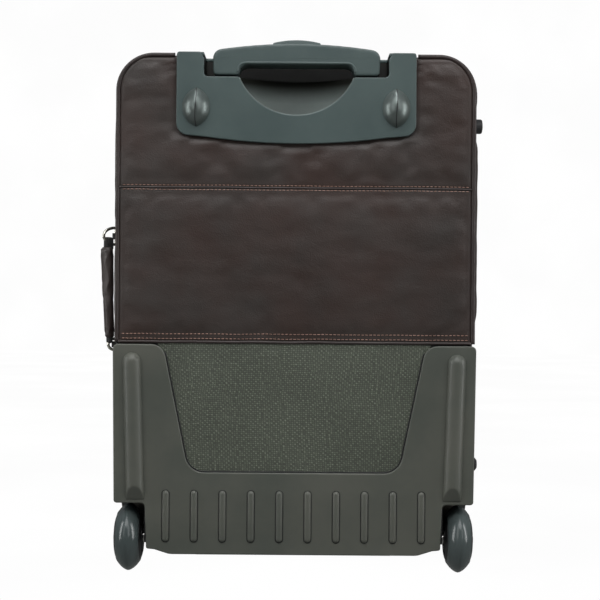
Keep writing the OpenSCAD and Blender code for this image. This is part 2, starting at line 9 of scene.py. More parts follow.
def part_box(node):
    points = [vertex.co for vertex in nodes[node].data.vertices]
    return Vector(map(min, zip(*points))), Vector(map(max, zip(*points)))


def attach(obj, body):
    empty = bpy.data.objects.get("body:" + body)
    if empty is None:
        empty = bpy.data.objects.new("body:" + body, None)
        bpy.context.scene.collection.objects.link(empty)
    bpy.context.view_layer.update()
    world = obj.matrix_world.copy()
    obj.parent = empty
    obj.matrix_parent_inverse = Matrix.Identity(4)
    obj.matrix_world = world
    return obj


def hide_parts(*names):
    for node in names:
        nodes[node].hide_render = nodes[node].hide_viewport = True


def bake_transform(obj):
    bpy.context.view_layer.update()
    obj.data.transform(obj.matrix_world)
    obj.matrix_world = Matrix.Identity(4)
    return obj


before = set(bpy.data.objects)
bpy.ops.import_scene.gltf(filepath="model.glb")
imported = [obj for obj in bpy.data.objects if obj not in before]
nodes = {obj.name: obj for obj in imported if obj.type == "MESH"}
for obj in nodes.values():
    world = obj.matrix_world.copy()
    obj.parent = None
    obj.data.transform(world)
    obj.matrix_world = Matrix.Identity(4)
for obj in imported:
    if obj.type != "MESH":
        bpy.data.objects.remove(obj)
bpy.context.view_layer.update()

# ---------------------------------------------------------------- the case's sizes, from the frame

GUSSET_LOW, GUSSET_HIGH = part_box("gusset_leather")
PLATE_LOW, PLATE_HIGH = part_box("handle_plate")
HALF = GUSSET_HIGH.x
TOP = GUSSET_HIGH.z
BASE = GUSSET_LOW.z
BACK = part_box("back_leather_upper")[0].y
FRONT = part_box("lid_leather")[1].y
TOP_R = 0.035
BASE_R = 0.012
BASE_FLAT = 0.118
BASE_RISE = 0.016
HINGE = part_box("hinge_strip")
BOARD_Y = -0.0605
SIDES = ((-1, "left"), (1, "right"))

# ---------------------------------------------------------------- outlines


def clamped(value):
    """The value, held between 0 and 1."""
    return min(1.0, max(0.0, value))


def steps(first, last, count):
    """Evenly spaced values from first to last, in that many steps."""
    return [first + (last - first) * k / count for k in range(count + 1)]


def spaced(a, b, step):
    """Evenly spaced values from a to b, about a step apart."""
    return steps(a, b, max(1, round(abs(b - a) / step)))


def both_halves(right):
    """A symmetrical outline from its right half, given as (x, z, radius)."""
    return right + [(-x, z, r) for x, z, r in reversed(right)]


def arc_points(centre, radius, start, sweep, count):
    """Points on an arc, in the plane of the case's back."""
    return [centre + radius * Vector((math.cos(a), math.sin(a))) for a in steps(start, start + sweep, count)]


def round_path(corners, step):
    """A closed outline with rounded corners, given as (x, z, radius), with points about a step apart."""
    spans = []
    for i, (x, z, radius) in enumerate(corners):
        here = Vector((x, z))
        before = Vector(corners[i - 1][:2])
        after = Vector(corners[(i + 1) % len(corners)][:2])
        u = (before - here).normalized()
        v = (after - here).normalized()
        half = math.acos(max(-1, min(1, u.dot(v)))) / 2
        if radius < 1e-6 or half > math.pi / 2 - 1e-3:
            spans.append([here])
            continue
        centre = here + (u + v).normalized() * radius / math.sin(half)
        first = here + u * radius / math.tan(half) - centre
        last = here + v * radius / math.tan(half) - centre
        start = math.atan2(first.y, first.x)
        sweep = (math.atan2(last.y, last.x) - start + math.pi) % (2 * math.pi) - math.pi
        count = max(3, round(abs(sweep) * radius / step))
        spans.append(arc_points(centre, radius, start, sweep, count))
    points = []
    for i, span in enumerate(spans):
        points += span
        end = spans[(i + 1) % len(spans)][0]
        gap = (end - span[-1]).length
        count = max(1, round(gap / step))
        points += [span[-1].lerp(end, k / count) for k in range(1, count)]
    return points


def case_corners(inset=0.0):
    """The case's outline, inset from the leather's outer face."""
    return both_halves([(BASE_FLAT, BASE + inset, 0.02),
                        (HALF - inset, BASE + BASE_RISE + inset, BASE_R - min(inset, 0.01)),
                        (HALF - inset, TOP - inset, TOP_R - inset)])


def outward(points):
    """The outward normal at each point of a closed outline that runs anticlockwise."""
    count = len(points)
    normals = []
    for i in range(count):
        along = (points[(i + 1) % count] - points[i - 1]).normalized()
        normals.append(Vector((along.y, -along.x)))
    return normals


def half_width(z):
    """Half the leather's width at a height above the bottom corners."""
    over = z - (TOP - TOP_R)
    if over <= 0:
        return HALF
    return HALF - TOP_R + math.sqrt(max(0.0, TOP_R * TOP_R - over * over))


# ---------------------------------------------------------------- meshes


def linked(name, mesh):
    """An object with that mesh, in the scene."""
    obj = bpy.data.objects.new(name, mesh)
    bpy.context.scene.collection.objects.link(obj)
    return obj


def make(name, verts, faces, smooth=True):
    """A mesh object from vertices and faces."""
    mesh = bpy.data.meshes.new(name)
    mesh.from_pydata([tuple(v) for v in verts], [], faces)
    mesh.validate()
    mesh.polygons.foreach_set("use_smooth", [smooth] * len(mesh.polygons))
    return linked(name, mesh)


def edited(obj, *changes):
    """Runs bmesh changes on an object's mesh."""
    bm = bmesh.new()
    bm.from_mesh(obj.data)
    for change in changes:
        change(bm)
    bm.to_mesh(obj.data)
    bm.free()
    return obj


def apply(obj, kind, **settings):
    """Adds a modifier, applies it and leaves the plain mesh."""
    modifier = obj.modifiers.new(kind.lower(), kind)
    for key, value in settings.items():
        setattr(modifier, key, value)
    bpy.context.view_layer.update()
    baked = bpy.data.meshes.new_from_object(obj.evaluated_get(bpy.context.evaluated_depsgraph_get()))
    obj.modifiers.clear()
    obj.data = baked
    return obj


def soften(obj, angle=35):
    """Smooth shading, with sharp edges where faces meet at more than the angle, in degrees."""
    obj.data.polygons.foreach_set("use_smooth", [True] * len(obj.data.polygons))
    obj.data.set_sharp_from_angle(angle=math.radians(angle))
    return obj


def grid(name, cols, rows, point, closed=False, keep=None):
    """A sheet of quads: point(i, j) gives each vertex, and keep(i, j) says which cells stay."""
    across = cols if closed else cols + 1
    verts = [point(i, j) for j in range(rows + 1) for i in range(across)]
    faces = []
    for j in range(rows):
        low, high = j * across, (j + 1) * across
        for i in range(cols):
            if keep is None or keep(i, j):
                k = (i + 1) % across
                faces.append((low + i, low + k, high + k, high + i))
    return drop_loose(make(name, verts, faces))


def drop_loose(obj):
    """Deletes vertices that no face uses."""
    return edited(obj, lambda bm: bmesh.ops.delete(
        bm, geom=[v for v in bm.verts if not v.link_faces], context="VERTS"))


def face_outwards(obj):
    """Turns every face to point out of the solid."""
    return edited(obj, lambda bm: bmesh.ops.recalc_face_normals(bm, faces=bm.faces))


def drop_faces(obj, unwanted):
    """Deletes the faces for which unwanted(number, face) is true."""
    return edited(obj, lambda bm: bmesh.ops.delete(
        bm, geom=[f for n, f in enumerate(bm.faces) if unwanted(n, f)], context="FACES"))


def join(name, parts):
    """Several meshes as one object."""
    bm = bmesh.new()
    for part in parts:
        bm.from_mesh(part.data)
    mesh = bpy.data.meshes.new(name)
    bm.to_mesh(mesh)
    bm.free()
    for part in parts:
        bpy.data.objects.remove(part)
    return linked(name, mesh)


def ring_faces(rings, sides, closed=False):
    """The faces between rings of vertices, with an end at each side unless the rings meet."""
    faces = []
    for j in range(rings if closed else rings - 1):
        low, high = j * sides, (j + 1) % rings * sides
        for i in range(sides):
            k = (i + 1) % sides
            faces.append((low + i, low + k, high + k, high + i))
    if not closed:
        faces += [tuple(reversed(range(sides))), tuple((rings - 1) * sides + i for i in range(sides))]
    return faces


def tube(name, path, radius, closed=False, sides=12):
    """A round tube along a path."""
    count = len(path)
    verts = []
    normal = None
    for i, p in enumerate(path):
        before = path[i - 1] if closed or i > 0 else p
        after = path[(i + 1) % count] if closed or i < count - 1 else p
        along = (after - before).normalized()
        if normal is None:
            normal = Vector((0, 0, 1)) if abs(along.z) < 0.9 else Vector((1, 0, 0))
        normal = (normal - along * normal.dot(along)).normalized()
        side = along.cross(normal)
        for k in range(sides):
            a = 2 * math.pi * k / sides
            verts.append(p + normal * (radius * math.cos(a)) + side * (radius * math.sin(a)))
    return face_outwards(make(name, verts, ring_faces(count, sides, closed)))


def lathe(name, profile, centre, axis, segments=64):
    """A body of revolution from (radius, along) points about an axis through the centre."""
    turn = Vector(axis).normalized().to_track_quat("Z", "Y")
    verts = []
    for k in range(segments):
        a = 2 * math.pi * k / segments
        for r, h in profile:
            verts.append(turn @ Vector((r * math.cos(a), r * math.sin(a), h)) + Vector(centre))
    obj = edited(make(name, verts, ring_faces(segments, len(profile), closed=True)),
                 lambda bm: bmesh.ops.remove_doubles(bm, verts=bm.verts, dist=1e-6),
                 lambda bm: bmesh.ops.dissolve_degenerate(bm, edges=bm.edges, dist=1e-6))
    return soften(face_outwards(obj), 40)


def slab(name, first, second, smooth=True):
    """A closed solid between two outlines with as many points."""
    count = len(first)
    faces = [tuple(range(count)), tuple(range(2 * count - 1, count - 1, -1))]
    faces += [(i, (i + 1) % count, count + (i + 1) % count, count + i) for i in range(count)]
    return face_outwards(make(name, [*first, *second], faces, smooth))


def prism(name, points, y0, y1, bevel):
    """A flat part in the plane of the back, from an outline, with rounded edges."""
    obj = slab(name, [(p.x, y0, p.y) for p in points], [(p.x, y1, p.y) for p in points])
    return rounded_edges(obj, bevel) if bevel else obj


def rounded_edges(obj, width, segments=3, angle=30):
    """Bevels the edges sharper than the angle, in degrees."""
    apply(obj, "BEVEL", width=width, segments=segments, limit_method="ANGLE",
          angle_limit=math.radians(angle), use_clamp_overlap=True)
    return soften(obj, 40)


def flat_shaded(obj):
    """Lets the large flat faces set the shading at their rims, so that they look flat."""
    apply(obj, "WEIGHTED_NORMAL", mode="FACE_AREA", weight=100, keep_sharp=True)
    return obj


def cuboid(name, low, high, bevel=0.0, segments=2):
    """A block between two corners, with rounded edges."""
    (x0, y0, z0), (x1, y1, z1) = low, high
    verts = [(x0, y0, z0), (x1, y0, z0), (x1, y1, z0), (x0, y1, z0),
             (x0, y0, z1), (x1, y0, z1), (x1, y1, z1), (x0, y1, z1)]
    faces = [(0, 3, 2, 1), (4, 5, 6, 7), (0, 1, 5, 4), (1, 2, 6, 5), (2, 3, 7, 6), (3, 0, 4, 7)]
    obj = make(name, verts, faces, smooth=False)
    return rounded_edges(obj, bevel, segments) if bevel else obj


def node_copy(node, name):
    """A clean copy of a CAD node's shape, with its flat faces whole, to round and refine."""
    obj = linked(name, nodes[node].data.copy())
    obj.data.materials.clear()
    return edited(obj, lambda bm: bmesh.ops.remove_doubles(bm, verts=bm.verts, dist=2e-6),
                  lambda bm: bmesh.ops.dissolve_limit(bm, angle_limit=math.radians(0.6), verts=bm.verts,
                                                      edges=bm.edges))


def moulded(node, width, segments=3):
    """A CAD node's shape with its edges rounded as a moulding's are."""
    return rounded_edges(node_copy(node, node + "_moulded"), width, segments)


def voxelled(obj, voxel, rounds):
    """Soft, rounded edges on a solid, by remeshing and smoothing."""
    apply(obj, "REMESH", mode="VOXEL", voxel_size=voxel, adaptivity=0.0)
    return apply(obj, "SMOOTH", factor=0.5, iterations=rounds)


# ---------------------------------------------------------------- materials


def graph(name):
    """A new material: its node tree and its shader."""
    material = bpy.data.materials.new(name)
    material.use_nodes = True
    tree = material.node_tree
    shader = tree.nodes["Principled BSDF"]
    return material, tree, shader


def add(tree, kind, inputs=(), **settings):
    """Adds a shader node; inputs maps a socket's name or number to a value or another socket."""
    node = tree.nodes.new(kind)
    for key, value in settings.items():
        setattr(node, key, value)
    for key, value in dict(inputs).items():
        if isinstance(value, bpy.types.NodeSocket):
            tree.links.new(value, node.inputs[key])
        else:
            node.inputs[key].default_value = value
    return node


def place(tree, scale=(1, 1, 1)):
    """The piece's own coordinates in the frame, in metres, scaled."""
    coordinates = add(tree, "ShaderNodeTexCoord").outputs["Object"]
    return add(tree, "ShaderNodeMapping", {"Vector": coordinates, "Scale": scale}).outputs[0]


def noise_map(tree, vector, scale, detail=3.0, rough=0.5, distortion=0.0):
    """A noise texture's factor; scale is in cycles a metre."""
    return add(tree, "ShaderNodeTexNoise", {"Vector": vector, "Scale": scale, "Detail": detail,
                                            "Roughness": rough, "Distortion": distortion}).outputs["Fac"]


def ramp(tree, factor, low, high, at=(0.35, 0.65)):
    """A smooth change between two colours."""
    node = add(tree, "ShaderNodeValToRGB", {"Fac": factor})
    node.color_ramp.interpolation = "EASE"
    for element, position, colour in zip(node.color_ramp.elements, at, (low, high)):
        element.position = position
        element.color = (*colour, 1)
    return node.outputs["Color"]


def span(tree, factor, low, high):
    """A factor from 0 to 1 as a range of values."""
    return rescale(tree, factor, from_min=0.3, from_max=0.7, to_min=low, to_max=high)


def rescale(tree, value, **limits):
    """A value mapped from one range to another; a limit is named as its socket, such as from_min."""
    inputs = {name.replace("_", " ").title(): limit for name, limit in limits.items()}
    return add(tree, "ShaderNodeMapRange", {"Value": value, **inputs}).outputs[0]


def relief(tree, height, distance, strength=1.0, below=None):
    """A bump of that height in metres, on top of another."""
    inputs = {"Height": height, "Distance": distance, "Strength": strength}
    if below is not None:
        inputs["Normal"] = below
    return add(tree, "ShaderNodeBump", inputs).outputs["Normal"]


def leather(name, dark, light, warm):
    """Full-grain leather: pebbled grain, pores, rub marks and patches of warmer brown."""
    material, tree, shader = graph(name)
    where = place(tree)
    patches = ramp(tree, noise_map(tree, where, 9, 4, 0.55), dark, light, (0.3, 0.75))
    redder = noise_map(tree, where, 17, 3)
    mix = add(tree, "ShaderNodeMix", {0: span(tree, redder, 0.0, 0.8)}, data_type="RGBA")
    tree.links.new(patches, mix.inputs[6])
    mix.inputs[7].default_value = (*warm, 1)
    tree.links.new(mix.outputs[2], shader.inputs["Base Color"])
    grain = add(tree, "ShaderNodeTexVoronoi", {"Vector": where, "Scale": 820.0, "Smoothness": 0.6},
                feature="SMOOTH_F1").outputs["Distance"]
    pores = noise_map(tree, where, 1900, 2)
    folds = noise_map(tree, place(tree, (1.0, 1.0, 1.6)), 60, 5, 0.6, 0.6)
    bump = relief(tree, folds, 0.0009, 0.35)
    bump = relief(tree, grain, 0.00022, 0.55, bump)
    bump = relief(tree, pores, 0.00008, 0.4, bump)
    tree.links.new(bump, shader.inputs["Normal"])
    tree.links.new(span(tree, noise_map(tree, where, 40, 4), 0.42, 0.56), shader.inputs["Roughness"])
    shader.inputs["Specular IOR Level"].default_value = 0.55
    shader.inputs["Coat Weight"].default_value = 0.12
    shader.inputs["Coat Roughness"].default_value = 0.35
    return material


def plastic(name, dark, light, rough=(0.36, 0.46), texture=0.00006, scale=1400.0, metallic=0.0):
    """Moulded plastic: a fine spark-eroded texture, faint flow marks and handling wear."""
    material, tree, shader = graph(name)
    where = place(tree)
    colour = ramp(tree, noise_map(tree, where, 11, 5, 0.6), dark, light, (0.3, 0.7))
    tree.links.new(colour, shader.inputs["Base Color"])
    fine = noise_map(tree, where, scale, 2)
    wide = noise_map(tree, where, 24, 2)
    bump = relief(tree, wide, 0.0007, 0.18)
    bump = relief(tree, fine, texture, 0.9, bump)
    tree.links.new(bump, shader.inputs["Normal"])
    tree.links.new(span(tree, noise_map(tree, where, 60, 5), *rough), shader.inputs["Roughness"])
    shader.inputs["Specular IOR Level"].default_value = 0.5
    shader.inputs["Metallic"].default_value = metallic
    return material


def shaded_well(name):
    """The well's plastic, with painted shade: near black high up behind the handle, grey lower down where the
    light falls.
    """
    material = plastic(name, (0.085, 0.1, 0.095), (0.12, 0.142, 0.135), (0.3, 0.38))
    tree = material.node_tree
    shader = next(n for n in tree.nodes if n.type == "BSDF_PRINCIPLED")
    colour = shader.inputs["Base Color"].links[0].from_socket
    place_of_point = add(tree, "ShaderNodeTexCoord").outputs["Object"]
    height = add(tree, "ShaderNodeSeparateXYZ", {0: place_of_point}).outputs[2]
    # Painted shade: the colour darkens and the specular level drops towards the top of the well.
    painted_shade_share = rescale(tree, height, from_min=0.474, from_max=0.494)
    mix = add(tree, "ShaderNodeMix", {0: painted_shade_share}, data_type="RGBA")
    tree.links.new(colour, mix.inputs[6])
    mix.inputs[7].default_value = (0.009, 0.0095, 0.008, 1)
    tree.links.new(mix.outputs[2], shader.inputs["Base Color"])
    tree.links.new(rescale(tree, painted_shade_share, to_min=0.5, to_max=0.06), shader.inputs["Specular IOR Level"])
    return material


def metal(name, colour, rough, brushed=0.0):
    """Plated or drawn metal, with fine scratches along its length."""
    material, tree, shader = graph(name)
    shader.inputs["Metallic"].default_value = 1.0
    where = place(tree, (1, 1, 0.05)) if brushed else place(tree)
    tone = noise_map(tree, where, 1200 if brushed else 80, 3)
    low = tuple(c * 0.86 for c in colour)
    tree.links.new(ramp(tree, tone, low, colour), shader.inputs["Base Color"])
    tree.links.new(span(tree, tone, rough * 0.8, rough * 1.3), shader.inputs["Roughness"])
    tree.links.new(relief(tree, tone, 0.00003, 0.3), shader.inputs["Normal"])
    return material


def cloth(name, dark, light, pitch, rough=0.85):
    """Woven cloth: crossing threads at the pitch, in metres."""
    material, tree, shader = graph(name)
    turns = 2 * math.pi / pitch
    coordinates = add(tree, "ShaderNodeTexCoord").outputs["Object"]
    split = add(tree, "ShaderNodeSeparateXYZ", {0: coordinates})
    waves = []
    for axis in (0, 1, 2):
        angle = add(tree, "ShaderNodeMath", {0: split.outputs[axis], 1: turns}, operation="MULTIPLY")
        waves.append(add(tree, "ShaderNodeMath", {0: angle.outputs[0]}, operation="SINE").outputs[0])
    crossing = add(tree, "ShaderNodeMath", {0: waves[0], 1: waves[2]}, operation="MULTIPLY").outputs[0]
    crossing = add(tree, "ShaderNodeMath", {0: crossing, 1: waves[1]}, operation="ADD").outputs[0]
    height = rescale(tree, crossing, from_min=-2.0, from_max=2.0)
    patch = noise_map(tree, coordinates, 30, 4)
    both = add(tree, "ShaderNodeMath", {0: height, 1: patch}, operation="ADD").outputs[0]
    both = add(tree, "ShaderNodeMath", {0: both, 1: 0.5}, operation="MULTIPLY").outputs[0]
    tree.links.new(ramp(tree, both, dark, light), shader.inputs["Base Color"])
    tree.links.new(relief(tree, height, pitch * 0.25, 0.6), shader.inputs["Normal"])
    shader.inputs["Roughness"].default_value = rough
    shader.inputs["Sheen Weight"].default_value = 0.25
    return material


def woven_mesh(name, valley, crest):
    """The back patch: thread colours follow the height of the modelled weave."""
    material, tree, shader = graph(name)
    where = place(tree)
    height = add(tree, "ShaderNodeAttribute", attribute_name="weave").outputs["Fac"]
    colour = ramp(tree, height, valley, crest, (0.25, 0.95))
    fibres = noise_map(tree, place(tree, (0.35, 1, 1)), 2600, 2)
    tone = add(tree, "ShaderNodeMix", {0: 0.35}, data_type="RGBA", blend_type="MULTIPLY")
    tree.links.new(colour, tone.inputs[6])
    tree.links.new(ramp(tree, noise_map(tree, where, 14, 3), (0.6, 0.6, 0.6), (1, 1, 1)), tone.inputs[7])
    tree.links.new(tone.outputs[2], shader.inputs["Base Color"])
    tree.links.new(relief(tree, fibres, 0.0001, 0.6), shader.inputs["Normal"])
    tree.links.new(span(tree, fibres, 0.45, 0.65), shader.inputs["Roughness"])
    return material


MATERIALS = {
    "leather": leather("leather", (0.028, 0.021, 0.018), (0.052, 0.044, 0.040), (0.040, 0.019, 0.014)),
    "leather_edge": leather("leather_edge", (0.022, 0.014, 0.013), (0.05, 0.04, 0.037), (0.03, 0.016, 0.014)),
    "weave": woven_mesh("weave", (0.078, 0.088, 0.068), (0.215, 0.24, 0.185)),
    "grey": plastic("grey", (0.066, 0.095, 0.094), (0.084, 0.117, 0.114)),
    "grey_gloss": plastic("grey_gloss", (0.13, 0.155, 0.148), (0.17, 0.2, 0.192), (0.3, 0.36), 0.00002,
                          metallic=0.65),
    "guard": plastic("guard", (0.087, 0.096, 0.082), (0.118, 0.122, 0.103)),
    "black": plastic("black", (0.008, 0.008, 0.009), (0.016, 0.016, 0.017), (0.4, 0.55)),
    "well": shaded_well("well"),
    "board": plastic("board", (0.02, 0.02, 0.021), (0.034, 0.034, 0.035), (0.5, 0.65), 0.0001, 500.0),
    "tyre": plastic("tyre", (0.056, 0.072, 0.073), (0.086, 0.106, 0.105), (0.14, 0.2), 0.00001),
    "thread": cloth("thread", (0.17, 0.085, 0.06), (0.42, 0.24, 0.18), 0.0009, 0.7),
    "webbing": cloth("webbing", (0.008, 0.008, 0.008), (0.03, 0.028, 0.027), 0.0014),
    "tape": cloth("tape", (0.01, 0.009, 0.009), (0.03, 0.028, 0.027), 0.0012),
    "lining": cloth("lining", (0.09, 0.082, 0.07), (0.16, 0.15, 0.13), 0.0011, 0.7),
    "aluminium": metal("aluminium", (0.58, 0.59, 0.6), 0.3, brushed=1),
    "steel": metal("steel", (0.6, 0.59, 0.57), 0.22),
    "pale_metal": metal("pale_metal", (0.8, 0.78, 0.7), 0.18),
    "zip_metal": metal("zip_metal", (0.45, 0.36, 0.22), 0.3),
}


def paint(obj, look):
    """Gives a new piece its material."""
    obj.data.materials.clear()
    obj.data.materials.append(MATERIALS[look])
    return obj


def finish_piece(obj, look, body, *replaced):
    """Paints a piece, makes it ride on its body and hides the CAD nodes that it stands for."""
    paint(obj, look)
    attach(obj, body)
    if replaced:
        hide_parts(*replaced)
    return obj


def paint_node(look, *names):
    """Gives CAD nodes that stay their material."""
    for name in names:
        mesh = nodes[name].data
        mesh.materials.clear()
        mesh.materials.append(MATERIALS[look])


# ---------------------------------------------------------------- cloth


def settle(obj, pinned, pressure, spare, frames=20, cap=0.004, stiff=8.0):
    """Lets a sheet or pad swell and wrinkle as cloth, held where pinned(vertex) is true.

    spare is the share by which the cloth is cut larger than its place, and cap bounds how far a point moves.
    """
    rest = np.array([v.co for v in obj.data.vertices])
    group = obj.vertex_groups.new(name="pinned")
    held = [v.index for v in obj.data.vertices if pinned(v.co)]
    group.add(held, 1.0, "REPLACE")
    modifier = obj.modifiers.new("cloth", "CLOTH")
    settings = modifier.settings
    settings.quality = 5
    settings.mass = 0.4
    settings.tension_stiffness = 20
    settings.compression_stiffness = 20
    settings.shear_stiffness = 8
    settings.bending_stiffness = stiff
    settings.use_pressure = True
    settings.uniform_pressure_force = pressure
    settings.shrink_min = -spare
    settings.vertex_group_mass = "pinned" if held else ""
    settings.effector_weights.gravity = 0
    modifier.collision_settings.use_collision = False
    scene = bpy.context.scene
    modifier.point_cache.frame_start = 1
    modifier.point_cache.frame_end = frames
    for number in range(1, frames + 1):
        scene.frame_set(number)
    moved = obj.evaluated_get(bpy.context.evaluated_depsgraph_get()).data
    swollen = np.array([v.co for v in moved.vertices])
    obj.modifiers.clear()
    shift = swollen - rest
    length = np.linalg.norm(shift, axis=1, keepdims=True)
    shift *= np.minimum(1.0, cap / np.maximum(length, 1e-9))
    obj.data.vertices.foreach_set("co", (rest + shift).astype(np.float32).ravel())
    obj.data.update()
    scene.frame_set(1)
    return obj


# ---------------------------------------------------------------- seams, hems and stitching


def stitches(name, rows, side="back"):
    """Stitches along polylines that lie on a surface; each row is a list of points."""
    verts, faces = [], []
    pitch, size, width = 0.004, 0.0028, 0.00042
    sides, rings = 6, ((-0.5, 0.35, 0.0), (-0.3, 1.0, 0.8), (0.3, 1.0, 0.8), (0.5, 0.35, 0.0))
    out = {"back": Vector((0, -1, 0)), "front": Vector((0, 1, 0)), "top": Vector((0, 0, 1))}[side]
    for row in rows:
        lengths = [0.0]
        for a, b in zip(row, row[1:]):
            lengths.append(lengths[-1] + (b - a).length)
        count = int(lengths[-1] / pitch)
        at = 0
        for n in range(count):
            s = (n + 0.5) * lengths[-1] / count
            while at < len(row) - 2 and lengths[at + 1] < s:
                at += 1
            a, b = row[at], row[at + 1]
            along = (b - a).normalized()
            middle = a + along * (s - lengths[at])
            across = along.cross(out).normalized()
            tilt = noise.noise(middle * 900) * 0.12
            along = (along + across * tilt).normalized()
            start = len(verts)
            for place_along, scale, lift in rings:
                for k in range(sides):
                    a = 2 * math.pi * k / sides
                    rise = (math.sin(a) * 0.8 * scale + lift * 0.6) * width
                    verts.append(middle + along * (place_along * size) + out * rise
                                 + across * (math.cos(a) * width * scale))
            faces += [tuple(start + k for k in face) for face in ring_faces(len(rings), sides)]
    return make(name, verts, faces)


def wrinkle(p, size, depth):
    """A smooth, seeded height at a point: folds of about that size and depth."""
    q = Vector(p) / size
    return depth * (noise.noise(q) + 0.5 * noise.noise(q * 2.1 + Vector((7, 3, 1))))


def cut_sheet(obj):
    """Hands the sheet back unchanged."""
    return obj


# ---------------------------------------------------------------- back panels

PIPE_R = 0.0022
ROW = 0.0042
PLATE_BASE = 0.441
SEAM_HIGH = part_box("back_leather_middle")[1].z
SEAM_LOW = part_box("mesh_panel")[1].z
EDGE_STEPS = (0.0, 0.0007, 0.0014, 0.0022, 0.0031, 0.0042, 0.0056, 0.0078)


def panel_rows(low, high):
    """Heights of a panel's rows, closer together at its seams and round the top corners."""
    straight = min(high, TOP - TOP_R)
    first, last = low + 0.011, straight - (0.011 if straight == high else 0.0)
    count = round((last - first) / ROW)
    rows = [low + d for d in EDGE_STEPS] + [first + (last - first) * i / count for i in range(count + 1)]
    if straight == high:
        return rows + [high - d for d in reversed(EDGE_STEPS)]
    return rows + [straight + TOP_R * math.sin(math.pi / 2 * k / 22) for k in range(1, 23)]


def panel_cols():
    """Places across a panel, from -1 to 1, closer together at its sides."""
    inner = [(HALF - 0.011) * (2 * i / 76 - 1) for i in range(77)]
    edge = [HALF - d for d in EDGE_STEPS]
    return [x / HALF for x in [-x for x in edge] + inner + edge[::-1]]


def plate_foot(x):
    """The height of the handle plate's bowed lower edge."""
    return PLATE_BASE - 0.009 * max(0.0, 1 - (x / 0.108) ** 2)


def under_plate(x, z, reach=0.003):
    """Whether a point of the back is under the handle plate or within reach of it."""
    return abs(x) < PLATE_HIGH.x + reach and z > plate_foot(x) - reach


def back_panel(name, low, high, edge_low, edge_high):
    """A padded leather panel of the back, pulled down at its border and round the handle plate."""
    rows = panel_rows(low, high)
    places = panel_cols()
    cols = len(places) - 1

    def point(i, j):
        z = rows[j]
        x = places[i] * (half_width(z) - 0.0008)
        rim = max(0.0, min(half_width(z) - abs(x), TOP - z) - 0.0008)
        near = max(0.0, 1 - rim / 0.0048)
        sink = 0.0026 * (1 - math.sqrt(1 - near * near))
        seam = max(0.0, 1 - min(z - low + edge_low, high - z + edge_high) / 0.004)
        sink = max(sink, 0.0008 * seam * seam)
        rim = min(rim, z - low + edge_low, high - z + edge_high)
        if under_plate(x, z):
            sink = 0.0012
        fold = wrinkle((x * 0.45, 0, z), 0.016, 0.0005) + wrinkle((x * 0.3, 0.3, z), 0.007, 0.00018)
        rise = 0.0009 * (1 - math.exp(-max(rim, 0.0) / 0.018))
        lift = 0 if under_plate(x, z) else rise + fold * (1 - math.exp(-rim / 0.008))
        return Vector((x, BACK + sink - lift, z))

    def shows(i, j):
        x = (places[i] + places[i + 1]) / 2 * half_width(rows[j])
        return not (abs(x) < 0.110 and rows[j] > 0.449)

    obj = grid(name, cols, len(rows) - 1, point, keep=shows)

    def pinned(p):
        return under_plate(p.x, p.z, 0.006) or min(
            half_width(p.z) - abs(p.x), p.z - low + edge_low, high - p.z + edge_high, TOP - p.z) < 0.0085

    settle(obj, pinned, 4.0, 0.006, cap=0.0011)
    return soften(obj, 180)


upper = back_panel("back_upper_skin", SEAM_HIGH + 0.0004, TOP, 0.0, 1.0)
finish_piece(upper, "leather", "case", "back_leather_upper")
middle = back_panel("back_middle_skin", SEAM_LOW - 0.0015, SEAM_HIGH, 0.0, 0.0)
finish_piece(middle, "leather", "case", "back_leather_middle")


def on_back(z, inset, lift, step=0.004):
    """Points across the back at a height."""
    half = half_width(z) - inset
    count = round(2 * half / step)
    return [Vector((-half + 2 * half * i / count,
                    BACK - lift - 0.0003 * noise.noise(Vector((i * 0.21, z * 40, 2))),
                    z + 0.0004 * noise.noise(Vector((i * 0.13, 5, z * 60))))) for i in range(count + 1)]


ridge = tube("seam_ridge", on_back(SEAM_HIGH, 0.001, -0.0002), 0.0011, sides=10)
finish_piece(ridge, "leather_edge", "case")
hem = tube("hem_roll", on_back(SEAM_LOW - 0.0018, 0.001, -0.0003), 0.0015, sides=10)
finish_piece(hem, "leather_edge", "case")
finish_piece(stitches("back_stitches", [on_back(z, 0.004, 0.0005) for z in (
    SEAM_HIGH + 0.0021, SEAM_HIGH - 0.0023, SEAM_LOW + 0.0062, SEAM_LOW + 0.0015)]), "thread", "case")


def opening_half(z):
    """Half the width between the guard's arms at a height."""
    return 0.1054 + (0.1317 - 0.1054) * (z - 0.1025) / 0.128


